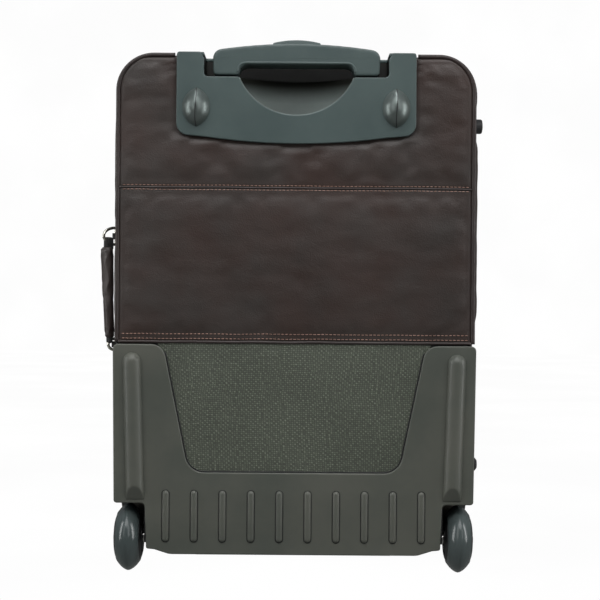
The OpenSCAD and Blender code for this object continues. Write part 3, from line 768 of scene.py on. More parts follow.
def weave_panel():
    """The woven patch between the guard's arms: threads that pass over and under each other."""
    pitch_x, pitch_z = 0.0023, 0.002
    half, bottom, top = 0.1375, 0.1, SEAM_LOW
    cols, rows = round(2 * half / pitch_x * 4), round((top - bottom) / pitch_z * 4)
    heights = []

    def point(i, j):
        x = -half + 2 * half * i / cols
        z = bottom + (top - bottom) * j / rows
        u = x / pitch_x + 0.5 * noise.noise(Vector((x * 9, 0, z * 70))) + 0.4 * math.sin(z * 45)
        v = z / pitch_z + 0.5 * noise.noise(Vector((x * 60, 4, z * 9))) + 0.3 * math.sin(x * 30)
        u += 0.2 * (v % 1)
        fu, fv = u % 1, v % 1
        if (math.floor(u) + math.floor(v)) % 2:
            height = math.sin(math.pi * fu) ** 0.6 * math.sin(math.pi * fv) ** 0.45
        else:
            height = 0.7 * math.sin(math.pi * fv) ** 0.6 * math.sin(math.pi * fu) ** 0.45
        height *= 0.8 + 0.5 * noise.noise(Vector((math.floor(u) * 0.9, 3, math.floor(v) * 0.7)))
        heights.append(height)
        swell = 0.0008 * math.cos(x / half * 1.5) * math.sin(math.pi * (z - bottom) / (top - bottom))
        return Vector((x, BACK + 0.0009 - swell - 0.00055 * height, z))

    def shows(i, j):
        x = -half + 2 * half * (i + 0.5) / cols
        return abs(x) < opening_half(bottom + (top - bottom) * j / rows) + 0.005

    obj = grid("weave_patch", cols, rows, point)
    values = obj.data.attributes.new("weave", "FLOAT", "POINT")
    values.data.foreach_set("value", heights)
    return drop_faces(obj, lambda n, face: not shows(n % cols, n // cols))


patch = finish_piece(weave_panel(), "weave", "case", "mesh_panel")

# ---------------------------------------------------------------- gusset, piping and zip

HOUSING_X, HOUSING_Y, HOUSING_Z = 0.1462, -0.0392, 0.0763
ANCHORS = [(-1, -0.072, 0.229), (-1, -0.072, 0.342)]
ANCHORS += [(1, y, z) for y in (-0.08, 0.02) for z in (0.11, 0.4535)]


def snapped(points):
    """An outline with points exactly where the wheel housings cut it."""
    for side in (-1, 1):
        near = min((p for p in points if p.x * side > HALF - 0.002), key=lambda p: abs(p.y - HOUSING_Z))
        near.y = HOUSING_Z
        low = min((p for p in points if p.y < BASE + BASE_RISE), key=lambda p: abs(p.x - side * HOUSING_X))
        low.x = side * HOUSING_X
    return points


def band(name, y_rows, shape, keep=None, step=0.0045):
    """A strip round the case: shape(point, normal, y) places each vertex."""
    points = snapped(round_path(case_corners(), step))
    normals = outward(points)

    def point(i, j):
        return shape(points[i], normals[i], y_rows[j])

    def stays(i, j):
        p = (points[i] + points[(i + 1) % len(points)]) / 2
        return keep is None or keep(p, (y_rows[j] + y_rows[j + 1]) / 2)

    return grid(name, len(points), len(y_rows) - 1, point, closed=True, keep=stays)


def gusset_shape(p, n, y):
    """The side leather swells most close to the back, and lies flat at the guard, seams and fittings."""
    edge = min(y - (BACK + 0.0015), 0.0552 - y)
    swell = 0.0026 if p.x < 0 else 0.0036
    swell += 0.0011 * clamped((0.5 - p.y) / 0.07)
    rise = 0.0011 + swell * math.exp(-((y + 0.0925) / 0.007) ** 2)
    rise *= 1 - math.exp(-max(edge, 0.0) / 0.003)
    if y < -0.055:
        rise *= clamped((p.y - 0.232) / 0.03)
    rise *= clamped((p.y - 0.05) / 0.05)
    if n.y > 0.5:
        rise *= 0.25
        if abs(p.x) < 0.125 and y < -0.055:
            rise = -0.0006
    for side, ay, az in ANCHORS:
        if p.x * side > HALF - 0.02:
            rise *= 1 - math.exp(-(((y - ay) ** 2 + (p.y - az) ** 2) / 0.02 ** 2) ** 2)
    at = Vector((p.x, y, p.y))
    rise += wrinkle(at, 0.022, 0.0006) * min(1.0, max(edge, 0.0) / 0.01) * (0 if rise <= 0 else 1)
    return Vector((p.x + n.x * rise, y, p.y + n.y * rise))


def gusset_keep(p, y):
    """Whether the side leather is there: the wheel housings and the handle well cut it."""
    cut_by_housing = y < HOUSING_Y and abs(p.x) > HOUSING_X and p.y < HOUSING_Z
    cut_by_well = p.y > 0.51 and abs(p.x) < 0.1 and y < -0.0605
    return not (cut_by_housing or cut_by_well)


rows = (spaced(0.0552, HOUSING_Y, 0.0045) + spaced(HOUSING_Y, BOARD_Y, 0.0045)[1:]
        + spaced(BOARD_Y, BACK + 0.0015, 0.004)[1:])
gusset = band("gusset_skin", rows, gusset_shape, gusset_keep)
finish_piece(soften(gusset, 180), "leather", "case", "gusset_leather")
cut_sheet(gusset)


def runs(points, keep):
    """The parts of a closed outline where keep(point) is true, each as a list."""
    count = len(points)
    kept = [keep(p) for p in points]
    if all(kept):
        return [points]
    start = next(i for i in range(count) if not kept[i])
    out, run = [], []
    for k in range(1, count + 1):
        i = (start + k) % count
        if kept[i]:
            run.append(points[i])
        elif run:
            out.append(run)
            run = []
    return out + ([run] if run else [])


def piping(name, y, keep, whole=False):
    """A piped edge round the case at a depth, where keep(point) is true."""
    line = round_path(case_corners(-0.0007), 0.003)
    parts = []
    for run in runs(line, keep):
        path = [Vector((p.x, y + 0.0003 * noise.noise(Vector((p.x * 60, y, p.y * 60))), p.y)) for p in run]
        parts.append(tube(name, path, PIPE_R, closed=whole, sides=14))
    return join(name, parts)


def on_piping(p):
    """Whether the back piping shows: it stops at the guard and the handle plate."""
    return p.y > 0.2312 and not (abs(p.x) < 0.1212 and p.y > 0.5)


back_pipe = piping("back_piping_roll", BACK + 0.0014, on_piping)
finish_piece(back_pipe, "leather_edge", "case", "back_piping")
front_pipe = piping("front_piping_roll", FRONT - 0.0014, lambda p: True, True)
finish_piece(front_pipe, "leather_edge", "lid", "front_piping")


def off_hinge(p):
    """Whether the zip is there, and not the hinge."""
    return not (p.x > 0.17 and HINGE[0].z - 0.001 < p.y < HINGE[1].z + 0.001)


TAPE_LINE = round_path(case_corners(0.0006), 0.0045)
TEETH_LINE = round_path(case_corners(0.0001), 0.0024)


def zip_tape(name, y0, y1, body, node):
    """A zip's cloth tape round the case, as a flat band."""
    parts = []
    for run in runs(TAPE_LINE, off_hinge):
        ys = spaced(y0, y1, 0.0013)
        parts.append(grid(name, len(run) - 1, len(ys) - 1, lambda i, j: Vector((
            run[i].x + 0.0001 * math.sin(i * 1.1), ys[j], run[i].y + 0.0001 * math.cos(i * 1.1)))))
    return finish_piece(soften(join(name, parts), 180), "tape", body, node)


def zip_teeth(name, y, reach, body):
    """A row of zip teeth that ends at the closing line."""
    verts, faces = [], []
    points = TEETH_LINE
    normals = outward(points)
    for p, n in zip(points, normals):
        if not off_hinge(p):
            continue
        along = Vector((-n.y, 0, n.x)) * 0.00075
        out = Vector((n.x, 0, n.y))
        start = len(verts)
        for dy, wide, lift in ((0, 0.7, 0.0013), (reach, 1.0, 0.0016)):
            for side, height in ((-1, 0.0), (1, 0.0), (1, lift), (-1, lift)):
                verts.append(Vector((p.x, y + dy, p.y)) + along * side * wide + out * height)
        faces += [tuple(start + k for k in f) for f in (
            (0, 1, 2, 3), (7, 6, 5, 4), (0, 4, 5, 1), (1, 5, 6, 2), (2, 6, 7, 3), (3, 7, 4, 0))]
    obj = face_outwards(make(name, verts, faces, smooth=False))
    return finish_piece(obj, "zip_metal", body)


zip_tape("tape_case", 0.0603, 0.0545, "case", "zip_tape_case")
zip_tape("tape_lid", 0.067, 0.0607, "lid", "zip_tape_lid")
zip_teeth("teeth_case", 0.0580, 0.0021, "case")
zip_teeth("teeth_lid", 0.0632, -0.0022, "lid")


def hinge_height(share):
    """The height at a share of the way up the hinge."""
    return HINGE[0].z + (HINGE[1].z - HINGE[0].z) * share


def hinge_point(i, j):
    """A point of the hinge leather: j goes across it and i along it."""
    y = 0.0525 + 0.0175 * j / 14
    z = hinge_height(i / 90)
    swell = 0.0012 * math.sin(math.pi * j / 14)
    return Vector((HALF + 0.0003 + swell + wrinkle((0, y, z), 0.012, 0.0003), y, z))


hinge = grid("hinge_leather", 90, 14, hinge_point)
paint(hinge, "leather_edge")
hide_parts("hinge_strip")
cut_sheet(hinge)
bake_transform(hinge)

# ---------------------------------------------------------------- pads: lid and pockets


def pad(name, corners, y0, y1, edge, rings, step):
    """A padded panel that faces +Y: a wall from y0, a rounded edge, and a front in rings to the middle."""
    points = round_path(corners, step)[::-1]
    normals = [-n for n in outward(points)]
    centre = sum(points, Vector((0, 0))) / len(points)
    profile = [(y, 0.0) for y in spaced(y0, y1 - edge, 0.005)]
    profile += [(y1 - edge + edge * math.sin(a), edge * (1 - math.cos(a)))
                for a in (0.4, 0.8, 1.2, math.pi / 2)]
    count = len(points)

    def point(i, j):
        if j < len(profile):
            y, inset = profile[j]
            at = points[i] - normals[i] * inset
            y_at = y
        else:
            share = (j - len(profile) + 1) / rings
            at = (points[i] - normals[i] * edge).lerp(centre, share)
            y_at = y1 + wrinkle((at.x * 0.5, 0, at.y), 0.02, 0.0006) * min(1, 5 * share)
        return Vector((at.x, y_at, at.y))

    obj = grid(name, count, len(profile) + rings - 1, point, closed=True)
    apply(obj, "WELD", merge_threshold=1e-5)
    return obj


def rect(half, low, high, r_low, r_high):
    """A rectangular outline with its corner radii."""
    return [(half, low, r_low), (half, high, r_high), (-half, high, r_high), (-half, low, r_low)]


def lid_border(p):
    """Whether a point of the lid's leather is on its wall or close to its edge."""
    return p.y < FRONT - 0.001 or abs(p.x) > HALF - 0.012 or p.z > TOP - 0.012 or p.z < BASE + 0.03


LID_Y = 0.0668
lid_skin = pad("lid_skin", case_corners(), LID_Y, FRONT, 0.0016, 26, 0.006)
settle(lid_skin, lid_border, 6.0, 0.008, cap=0.0015)
finish_piece(soften(lid_skin, 180), "leather", "lid", "lid_leather")
lid_flap = grid("lid_hinge_edge", 90, 4, lambda i, j: Vector((
    HALF - 0.0006, LID_Y - 0.0058 * j / 4, hinge_height(i / 90))))
finish_piece(lid_flap, "leather", "lid")

POCKET_LOW, POCKET_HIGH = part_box("large_pocket")
SMALL_LOW, SMALL_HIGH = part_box("small_pocket")
ZIP_Z = 0.302
ZIP_HALF = 0.142


def near_zip(p):
    """Whether a point is close to the pocket's zip."""
    return abs(p.z - ZIP_Z) < 0.0085 and abs(p.x) < ZIP_HALF + 0.004


large = pad("large_pocket_skin", rect(POCKET_HIGH.x, POCKET_LOW.z, POCKET_HIGH.z, 0.016, 0.022),
            FRONT, POCKET_HIGH.y, 0.007, 24, 0.0055)
settle(large, lambda p: p.y < FRONT + 0.004 or near_zip(p), 7.0, 0.02, cap=0.0045)
finish_piece(soften(large, 180), "leather", "lid", "large_pocket")
small = pad("small_pocket_skin", rect(SMALL_HIGH.x, SMALL_LOW.z, SMALL_HIGH.z, 0.016, 0.004),
            FRONT, SMALL_HIGH.y, 0.004, 18, 0.0055)
drop_faces(small, lambda n, face: face.calc_center_median().z > SMALL_HIGH.z - 0.0005
           and face.calc_center_median().y < SMALL_HIGH.y - 0.0035)
settle(small, lambda p: p.y < FRONT + 0.003, 5.0, 0.015, cap=0.002)
finish_piece(soften(small, 180), "leather", "lid", "small_pocket")


def level_row(half, y, z):
    """Points across the case at a depth and height."""
    return [Vector((x, y, z)) for x in spaced(-half, half, 0.004)]


mouth = level_row(SMALL_HIGH.x - 0.003, SMALL_HIGH.y - 0.002, SMALL_HIGH.z - 0.0002)
finish_piece(tube("small_pocket_binding", mouth, 0.0016, sides=10), "leather_edge", "lid")
border = [Vector((p.x, FRONT + 0.0004, p.y)) for p in round_path(
    rect(POCKET_HIGH.x + 0.006, POCKET_LOW.z - 0.006, POCKET_HIGH.z + 0.006, 0.02, 0.02), 0.004)]
zip_rows = [level_row(ZIP_HALF, POCKET_HIGH.y + 0.0002, ZIP_Z + rise) for rise in (0.0068, -0.0068)]
pocket_stitches = stitches("pocket_stitches", [border + border[:1], *zip_rows], side="front")
finish_piece(pocket_stitches, "thread", "lid")
tape = grid("pocket_tape", 90, 4, lambda i, j: Vector((
    ZIP_HALF - 2 * ZIP_HALF * i / 90, POCKET_HIGH.y + 0.00025, ZIP_Z - 0.0042 + 0.0084 * j / 4)))
finish_piece(tape, "tape", "lid", "pocket_zip")
teeth = []
for x in spaced(-ZIP_HALF + 0.002, ZIP_HALF - 0.002, 0.0022):
    for side in (-1, 1):
        shift = 0.00055 * side
        low_z, high_z = sorted((ZIP_Z - 0.0003 * side, ZIP_Z + 0.0019 * side))
        teeth.append(cuboid("tooth", (x + shift - 0.0005, POCKET_HIGH.y + 0.0002, low_z),
                            (x + shift + 0.0005, POCKET_HIGH.y + 0.0012, high_z)))
finish_piece(join("pocket_teeth", teeth), "zip_metal", "lid")

# ---------------------------------------------------------------- handle plate, well and grip

FLANGE_TOP = PLATE_HIGH.z
RECESS = 0.0927
LEDGE = 0.4987
SCALLOP = 0.063
reach = math.sqrt(SCALLOP ** 2 - (FLANGE_TOP - LEDGE) ** 2)


def plate_outline():
    """The handle plate seen from behind, with its scallop and the recess for the grip."""
    wide = PLATE_HIGH.x
    shoulder = both_halves([(wide, FLANGE_TOP, 0.003), (RECESS + 0.004, FLANGE_TOP, 0.001),
                            (RECESS, FLANGE_TOP - 0.006, 0.001), (RECESS, LEDGE, 0.004), (reach, LEDGE, 0)])
    foot = [(x, plate_foot(x), 0) for x in steps(-0.09, 0.09, 12)]
    line = round_path(shoulder[:5] + [(0, LEDGE - 0.03, 0)] + shoulder[5:] + [(-wide, PLATE_BASE, 0.012)]
                      + foot + [(wide, PLATE_BASE, 0.012)], 0.0025)
    kept = [p for p in line if not (abs(p.x) < reach - 1e-4 and 0.45 < p.y < LEDGE + 1e-4)]
    at = min(range(len(kept)), key=lambda i: (kept[i] - Vector((reach, LEDGE))).length)
    start = math.atan2(LEDGE - FLANGE_TOP, reach)
    scallop = arc_points(Vector((0, FLANGE_TOP)), SCALLOP, start, -(math.pi + 2 * start), 60)[1:-1]
    return kept[:at + 1] + scallop + kept[at + 1:]


plate_face = prism("plate_face", plate_outline(), PLATE_LOW.y, BACK, 0.0013)
edge, back = PLATE_HIGH.x - 0.0006, BACK - 0.0022
well_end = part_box("handle_well")[1].y - 0.0025
flange_line = [(edge, back), (edge, PLATE_HIGH.y), (-edge, PLATE_HIGH.y), (-edge, back),
               (-RECESS, back), (-RECESS, well_end), (RECESS, well_end), (RECESS, back)]
flange = slab("plate_flange", *([(x, y, z) for x, y in flange_line] for z in (TOP, FLANGE_TOP)), smooth=False)
rounded_edges(flange, 0.0009)
finish_piece(flat_shaded(plate_face), "grey", "case", "handle_plate")
finish_piece(flange, "grey", "case")
# Painted highlight: a thin bead in the paler, glossier grey along the scallop's edge shows the light caught
# on that edge.
rim = [Vector((p.x, BACK - 0.0002, p.y)) for p in arc_points(
    Vector((0, FLANGE_TOP)), SCALLOP * 0.997, -math.pi + 0.41, math.pi - 0.82, 60)]
finish_piece(tube("scallop_highlight_bead", rim, 0.0007, sides=8), "grey_gloss", "case")
well = soften(node_copy("handle_well", "well_tray"), 30)
finish_piece(well, "well", "case", "handle_well")
bumps = soften(node_copy("plate_bumpers", "plate_bumps"), 28)
finish_piece(bumps, "grey_gloss", "case", "plate_bumpers")
# Painted shade: a thin black line down each bump's crease stands for the shade in it.
BUMP_X, BUMP_Z = 0.1002, 0.468
crease_r = math.sqrt(0.02275 ** 2 - 0.0065 ** 2)
crease_angles = steps(math.radians(-62.5), math.radians(62.5), 32)
crease_shade_lines = []
for side in (-1, 1):
    line = [Vector((side * BUMP_X + 0.0006 * math.sin(3 * a),
                    PLATE_LOW.y + 0.00984 - (crease_r - 0.0001) * math.cos(a),
                    BUMP_Z + crease_r * math.sin(a))) for a in crease_angles]
    crease_shade_lines.append(tube("crease", line, 0.00045, sides=8))
finish_piece(join("bump_crease_shade", crease_shade_lines), "black", "case")

GRIP_LOW, GRIP_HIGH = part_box("grip_body")
COVER_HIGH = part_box("grip_cover")[1]
GRIP_HALF = COVER_HIGH.x
SPLIT = 0.518
BAR_FOOT = 0.512
CROWN_R = (GRIP_HALF ** 2 + 0.007 ** 2) / (2 * 0.007)


def crown(x):
    """The height of the grip's bowed top."""
    return COVER_HIGH.z - CROWN_R + math.sqrt(CROWN_R ** 2 - x * x)


def cut_flat(source, name, z, above):
    """The part of a closed mesh above or below a height, with its cut face filled."""
    obj = linked(name, source.data.copy())
    edited(obj, lambda bm: bmesh.ops.bisect_plane(
        bm, geom=bm.verts[:] + bm.edges[:] + bm.faces[:], plane_co=(0, 0, z), plane_no=(0, 0, 1),
        clear_inner=above, clear_outer=not above),
        lambda bm: bmesh.ops.holes_fill(bm, edges=[e for e in bm.edges if e.is_boundary], sides=0))
    return soften(obj, 40)


right = [(0.0578, BAR_FOOT, 0.0085), (0.0578, GRIP_LOW.z, 0.002), (GRIP_HALF - 0.001, GRIP_LOW.z, 0.003),
         (GRIP_HALF, crown(GRIP_HALF), 0.0095)] + [(x, crown(x), 0) for x in (0.07, 0.055, 0.04, 0.025, 0.01)]
whole_grip = prism("grip_solid", round_path(both_halves(right), 0.0015), GRIP_LOW.y, GRIP_HIGH.y, 0)
voxelled(whole_grip, 0.0009, 26)
finish_piece(cut_flat(whole_grip, "grip_upper", SPLIT + 0.00004, True), "grey", "grip", "grip_cover")
finish_piece(cut_flat(whole_grip, "grip_lower", SPLIT - 0.00004, False), "grey", "grip", "grip_body")
bpy.data.objects.remove(whole_grip)
BEAD_R = 0.0085
BEAD_X, BEAD_Y = 0.0592, GRIP_LOW.y + 0.0009
bead_line = [Vector((BEAD_X, BEAD_Y, GRIP_LOW.z + 0.003))]
bead_line += [Vector((p.x, BEAD_Y, p.y)) for p in arc_points(
    Vector((BEAD_X - BEAD_R, BAR_FOOT + 0.0016 - BEAD_R)), BEAD_R, 0, math.pi / 2, 8)]
bead_line += [Vector((-p.x, p.y, p.z)) for p in reversed(bead_line)]
finish_piece(tube("grip_bead", bead_line, 0.0014, sides=16), "grey", "grip")
CUP = [(0.0, -0.001), (0.0019, -0.001), (0.0021, 0.0), (0.0019, 0.00035), (0.0016, 0.0003), (0.0, 0.0001)]
for side, word in SIDES:
    cup = lathe("screw_cup_" + word, CUP, (side * 0.0741, GRIP_LOW.y + 0.0004, 0.507), (0, -1, 0), 32)
    finish_piece(cup, "black", "grip")
button = moulded("release_button", 0.0014, 3)
finish_piece(button, "grey", "button", "release_button")
# Painted shade: a thin black loop round the button, on the grip's top, stands for the shade in the gap about
# it.
button_shade_line = [(x, -0.0938) for x in (-0.0245, 0.0, 0.0245)] + [(x, -0.0782) for x in (0.0245, 0.0, -0.0245)]
button_shade_line = [Vector((x, y, crown(x) + 0.00005)) for x, y in button_shade_line]
gap = tube("button_gap_shade", button_shade_line, 0.0004, closed=True, sides=8)
finish_piece(gap, "black", "grip")
paint_node("steel", "grip_screws", "button_springs", "push_rods")
paint_node("black", "release_bar", "tube_plugs", "tube_base")


TUBE_X, TUBE_Y = 0.0713, -0.086


def square_tube(node, radius, wall, look, body):
    """A drawn tube with rounded corners in the place of a CAD pair."""
    low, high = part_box(node)
    half_x = high.x - TUBE_X
    half_y = (high.y - low.y) / 2
    parts = []
    for side in (-1, 1):
        outer, thinner = (round_path(rect(half_x - g, g - half_y, half_y - g, radius - g, radius - g), 0.0012)
                          for g in (0.0, wall))
        inner = [min(thinner, key=lambda q: (q - p).length) for p in outer]
        n = len(outer)
        verts = [(side * TUBE_X + p.x, TUBE_Y + p.y, z) for z in (low.z, high.z) for p in outer + inner]
        faces = []
        for i in range(n):
            k = (i + 1) % n
            faces += [(i, k, 2 * n + k, 2 * n + i), (n + k, n + i, 3 * n + i, 3 * n + k),
                      (i, n + i, n + k, k), (2 * n + i, 2 * n + k, 3 * n + k, 3 * n + i)]
        parts.append(make("tube", verts, faces))
    obj = edited(join(node + "_drawn", parts),
                 lambda bm: bmesh.ops.dissolve_degenerate(bm, edges=bm.edges, dist=1e-7),
                 lambda bm: bmesh.ops.recalc_face_normals(bm, faces=bm.faces))
    return finish_piece(soften(obj, 35), look, body, node)


square_tube("outer_tubes", 0.003, 0.0012, "aluminium", "case")
square_tube("middle_tubes", 0.0026, 0.001, "aluminium", "middle_stage")
square_tube("inner_tubes", 0.0022, 0.001, "aluminium", "grip")
for node, body in (("outer_collars", "case"), ("middle_collars", "middle_stage")):
    finish_piece(moulded(node, 0.0006, 2), "black", body, node)

# ---------------------------------------------------------------- corner guard

GUARD = both_halves([(0.124, 0.0205, 0.020), (0.139, 0.0252, 0.012), (0.1472, 0.026, 0.002),
                     (0.1488, 0.0715, 0.004), (0.180, 0.0715, 0.003), (0.182, 0.2305, 0.005),
                     (0.1317, 0.2305, 0.015), (0.1054, 0.1025, 0.019)])
WING = ((BACK - 0.002, 0.0727), (-0.0805, 0.0752), (-0.06, 0.0735), (-0.06, 0.2255), (BACK - 0.002, 0.2255))
RIB_R, RIB_LOW, RIB_HIGH = 0.0035, 0.0365, 0.0812
RIBS = [(k - 4.5) * 0.0284 for k in range(10)]
guard_parts = [prism("guard_face", round_path(GUARD, 0.0022), PLATE_LOW.y, BACK, 0.0013)]
for side in (-1, 1):
    wing = slab("wing", *([(side * x, y, z) for y, z in WING] for x in (HALF - 0.0004, 0.18)), smooth=False)
    guard_parts.append(rounded_edges(wing, 0.0005, 2))
guard_parts.append(cuboid("wrap", (-0.098, BACK - 0.002, 0.020), (0.098, -0.03, BASE - 0.0002), 0.0012))
guard = join("guard_shell", guard_parts)
finish_piece(flat_shaded(soften(guard, 42)), "guard", "case", "corner_guard")
profile = [(RIB_R * math.sin(a), RIB_LOW - RIB_R * math.cos(a)) for a in steps(0, math.pi / 2, 6)]
profile += [(RIB_R * math.cos(a), RIB_HIGH + RIB_R * math.sin(a)) for a in steps(0, math.pi / 2, 6)]
parts = [lathe("rib", profile, (x, PLATE_LOW.y + 0.0008, 0), (0, 0, 1), 24) for x in RIBS]
finish_piece(soften(join("guard_ribs", parts), 60), "guard", "case")
# Painted shade: thin black lines along the skid bars' inner sides, round the foot of each rib and along the
# guard's opening stand for the shade there.
shade_lines = []
lean = math.tan(math.radians(1.8))
for side in (-1, 1):
    line = [Vector((side * (0.1528 + (z - 0.1435) * lean), PLATE_LOW.y + 0.0002, z))
            for z in spaced(0.088, 0.205, 0.004)]
    shade_lines.append(tube("shade_line", line, 0.0009, sides=8))
for x in RIBS:
    ring = [Vector((p.x, PLATE_LOW.y - 0.0001, p.y)) for z, start in ((RIB_HIGH, 0), (RIB_LOW, math.pi))
            for p in arc_points(Vector((x, z)), RIB_R + 0.0002, start, math.pi, 14)]
    shade_lines.append(tube("shade_line", ring, 0.0004, closed=True, sides=6))
edge = round_path(GUARD, 0.0022)
opening = [Vector((p.x + 0.0006 * n.x, BACK - 0.0006, p.y + 0.0006 * n.y))
           for p, n in zip(edge, outward(edge)) if abs(p.x) < 0.1312 and 0.102 < p.y < 0.2288]
shade_lines.append(tube("shade_line", opening, 0.0008, sides=8))
finish_piece(join("guard_shade_lines", shade_lines), "black", "case")
bars = voxelled(node_copy("skid_bars", "skid_bars_shaped"), 0.00085, 5)
finish_piece(soften(bars, 180), "guard", "case", "skid_bars")
paint_node("steel", "guard_rivets", "wheel_axles", "wheel_bearings")
housings = moulded("wheel_housings", 0.0006, 2)
finish_piece(housings, "black", "case", "wheel_housings")

# ---------------------------------------------------------------- wheels

AXLE_Y, AXLE_Z, WHEEL_X = -0.0805, 0.034, 0.167
BORE_R = 0.01105
half_tread = [(0.0226, 0.0108), (0.0232, 0.0119), (0.0246, 0.0116), (0.0262, 0.0104), (0.0285, 0.0086),
              (0.0303, 0.0068), (0.0318, 0.0050), (0.0330, 0.0030), (0.0337, 0.0014)]
TREAD = [(r, -w) for r, w in half_tread] + [(0.034, 0.0)] + [(r, w) for r, w in reversed(half_tread)]
dome = [(0.0227, 0.0112), (0.0222, 0.0122), (0.0200, 0.0131), (0.0172, 0.0138), (0.0168, 0.0126),
        (0.0130, 0.0126), (0.0126, 0.0143), (0.0100, 0.0146), (0.0078, 0.0143), (0.0074, 0.0136),
        (0.0074, 0.0106), (BORE_R, 0.0106)]
RIM = dome + [(r, -w) for r, w in reversed(dome)]
for side, word in SIDES:
    centre = Vector((side * WHEEL_X, AXLE_Y, AXLE_Z))
    tyre = lathe("tyre_" + word + "_cast", TREAD, centre, (1, 0, 0), 96)
    finish_piece(tyre, "tyre", "wheel_" + word, "tyre_" + word)
    parts = [lathe("rim", RIM, centre, (1, 0, 0), 96)]
    for k in range(10):
        spoke = cuboid("spoke", (-0.0135, -0.0009, 0.0120), (0.0135, 0.0009, 0.0176), 0.0004)
        spoke.data.transform(Matrix.Translation(centre) @ Matrix.Rotation(math.pi / 5 * k, 4, "X"))
        parts.append(spoke)
    hub = soften(join("hub_" + word + "_cast", parts), 40)
    finish_piece(hub, "black", "wheel_" + word, "hub_" + word)

# ---------------------------------------------------------------- feet, studs and carry handles

finish_piece(moulded("front_feet", 0.0015), "black", "case", "front_feet")
BIG_STUD = [(0.0, -0.0005), (0.0108, -0.0005), (0.011, 0.001), (0.0102, 0.0024), (0.0078, 0.003),
            (0.0074, 0.0036), (0.0074, 0.0094), (0.0066, 0.0108), (0.0045, 0.0113), (0.0, 0.0115)]
LOW_STUD = [(0.0, -0.0005), (0.0072, -0.0005), (0.0074, 0.0012), (0.0066, 0.006), (0.0042, 0.0079),
            (0.0, 0.0084)]
parts = [lathe("stud", LOW_STUD if az < 0.2 else BIG_STUD, (HALF, ay, az), (1, 0, 0), 48)
         for side, ay, az in ANCHORS[2:]]
finish_piece(join("studs_turned", parts), "black", "case", "side_studs")

RING_R, WIRE, KEEPER_R = 0.007, 0.0015, 0.0031


def d_ring(name, at, along, out, body, look, node=None, size=RING_R, depth=RING_R):
    """A bent wire ring: a straight pin along one direction and a bow towards another."""
    path = [at + along * (size * math.cos(a)) + out * (depth * math.sin(a)) for a in steps(0, math.pi, 20)]
    path += [at + along * x for x in steps(-size, size, 8)[1:-1]]
    obj = tube(name, path, WIRE, closed=True, sides=14)
    return finish_piece(obj, look, body, *([node] if node else []))


def bar_pad(name, at, radial, across, stations):
    """A stitched leather grip: stations are (place along it, radial half, width half, radial offset)."""
    verts = []
    sides = 36
    for where, deep, wide, shift in stations:
        for k in range(sides):
            a = 2 * math.pi * k / sides
            c, s = (math.copysign(abs(v) ** 0.75, v) for v in (math.cos(a), math.sin(a)))
            verts.append(at(where) + radial * (shift + c * deep) + across * (s * wide))
    return face_outwards(make(name, verts, ring_faces(len(stations), sides)))


def closing(along, reach, least):
    """How full a grip is at a distance from its end: it rounds down to the least share within the reach."""
    return math.sqrt(max(0.0, 1 - max(0.0, 1 - along / reach) ** 2)) * (1 - least) + least


def strap(name, path, across, width, thick=0.0011):
    """A strip of webbing or leather that follows a path, as one closed solid."""
    verts = []
    for i, p in enumerate(path):
        before, after = path[max(0, i - 1)], path[min(len(path) - 1, i + 1)]
        out = across.cross((after - before).normalized()).normalized()
        for u, h in ((-1, 0), (-0.96, 0.5), (0.96, 0.5), (1, 0), (0.96, -0.5), (-0.96, -0.5)):
            verts.append(p + across * (u * width / 2) + out * (h * thick))
    return soften(face_outwards(make(name, verts, ring_faces(len(path), 6))), 50)


LEAN = math.radians(50)
SIDE = Vector((-0.184, -0.072, 0))
radial = Vector((-math.cos(LEAN), -math.sin(LEAN), 0))
across = Vector((math.sin(LEAN), -math.cos(LEAN), 0))
up = Vector((0, 0, 1))
RINGS = (0.229, 0.3395)


def side_at(z):
    """The side handle's pivot line at a height."""
    return Vector((SIDE.x, SIDE.y, z))


stations = []
GRIP_LONG = 0.0925
for t in steps(0, 1, 40):
    full = closing(min(t, 1 - t) * GRIP_LONG, 0.004, 0.65)
    stations.append((0.2355 + GRIP_LONG * t, (0.0045 + 0.0002 * t) * full, (0.0043 + 0.0028 * t) * full,
                     0.0074 + 0.0048 * t))
side_grip = bar_pad("side_grip_pad", side_at, radial, across, stations)
settle(side_grip, lambda p: p.z < 0.239 or p.z > 0.3245, 3.0, 0.01, cap=0.0006)
finish_piece(soften(side_grip, 60), "leather_edge", "side_handle", "side_handle_grip")
parts = []
for z, way in zip(RINGS, (1, -1)):
    size, depth = (0.0058, 0.0092) if way > 0 else (0.0086, 0.0165)
    d_ring("side_ring_low" if way > 0 else "side_ring_high", side_at(z), up, radial, "side_handle",
           "pale_metal", "side_handle_rings" if way > 0 else None, size, depth)
    reach, deep, shift = (0.0105, 0.0028, 0.0078) if way > 0 else (0.0125, 0.0056, 0.0098)
    tab = [(z + way * (0.0012 + reach * t), deep * close, 0.0031 * close, shift)
           for t, close in ((0.0, 0.55), (0.06, 0.85), (0.2, 1.0), (0.9, 1.0), (1.0, 0.9))]
    parts.append(bar_pad("tab", side_at, radial, across, tab))
finish_piece(join("side_handle_loops", parts), "webbing", "side_handle")
parts = []
for z in RINGS:
    patch_z = max(z, 0.2385) if z < 0.3 else z
    parts.append(cuboid("patch", (-HALF - 0.0022, -0.0815, patch_z - 0.0115),
                        (-HALF + 0.0004, -0.0625, patch_z + 0.0115), 0.0008))
    path = [Vector((p.x, p.y, z)) for p in arc_points(
        SIDE.xy, KEEPER_R, math.radians(-285), math.radians(210), 16)]
    path = [Vector((-HALF - 0.0012, -0.0645, z))] + path + [Vector((-HALF - 0.0012, -0.0795, z))]
    parts.append(strap("keeper", path, up, 0.0064, 0.001))
anchors = join("side_anchor_loops", parts)
finish_piece(anchors, "webbing", "case", "side_handle_anchors")


TOP_Z = 0.527


def top_at(x):
    """The top handle's pivot line at a place across."""
    return Vector((x, 0, TOP_Z))


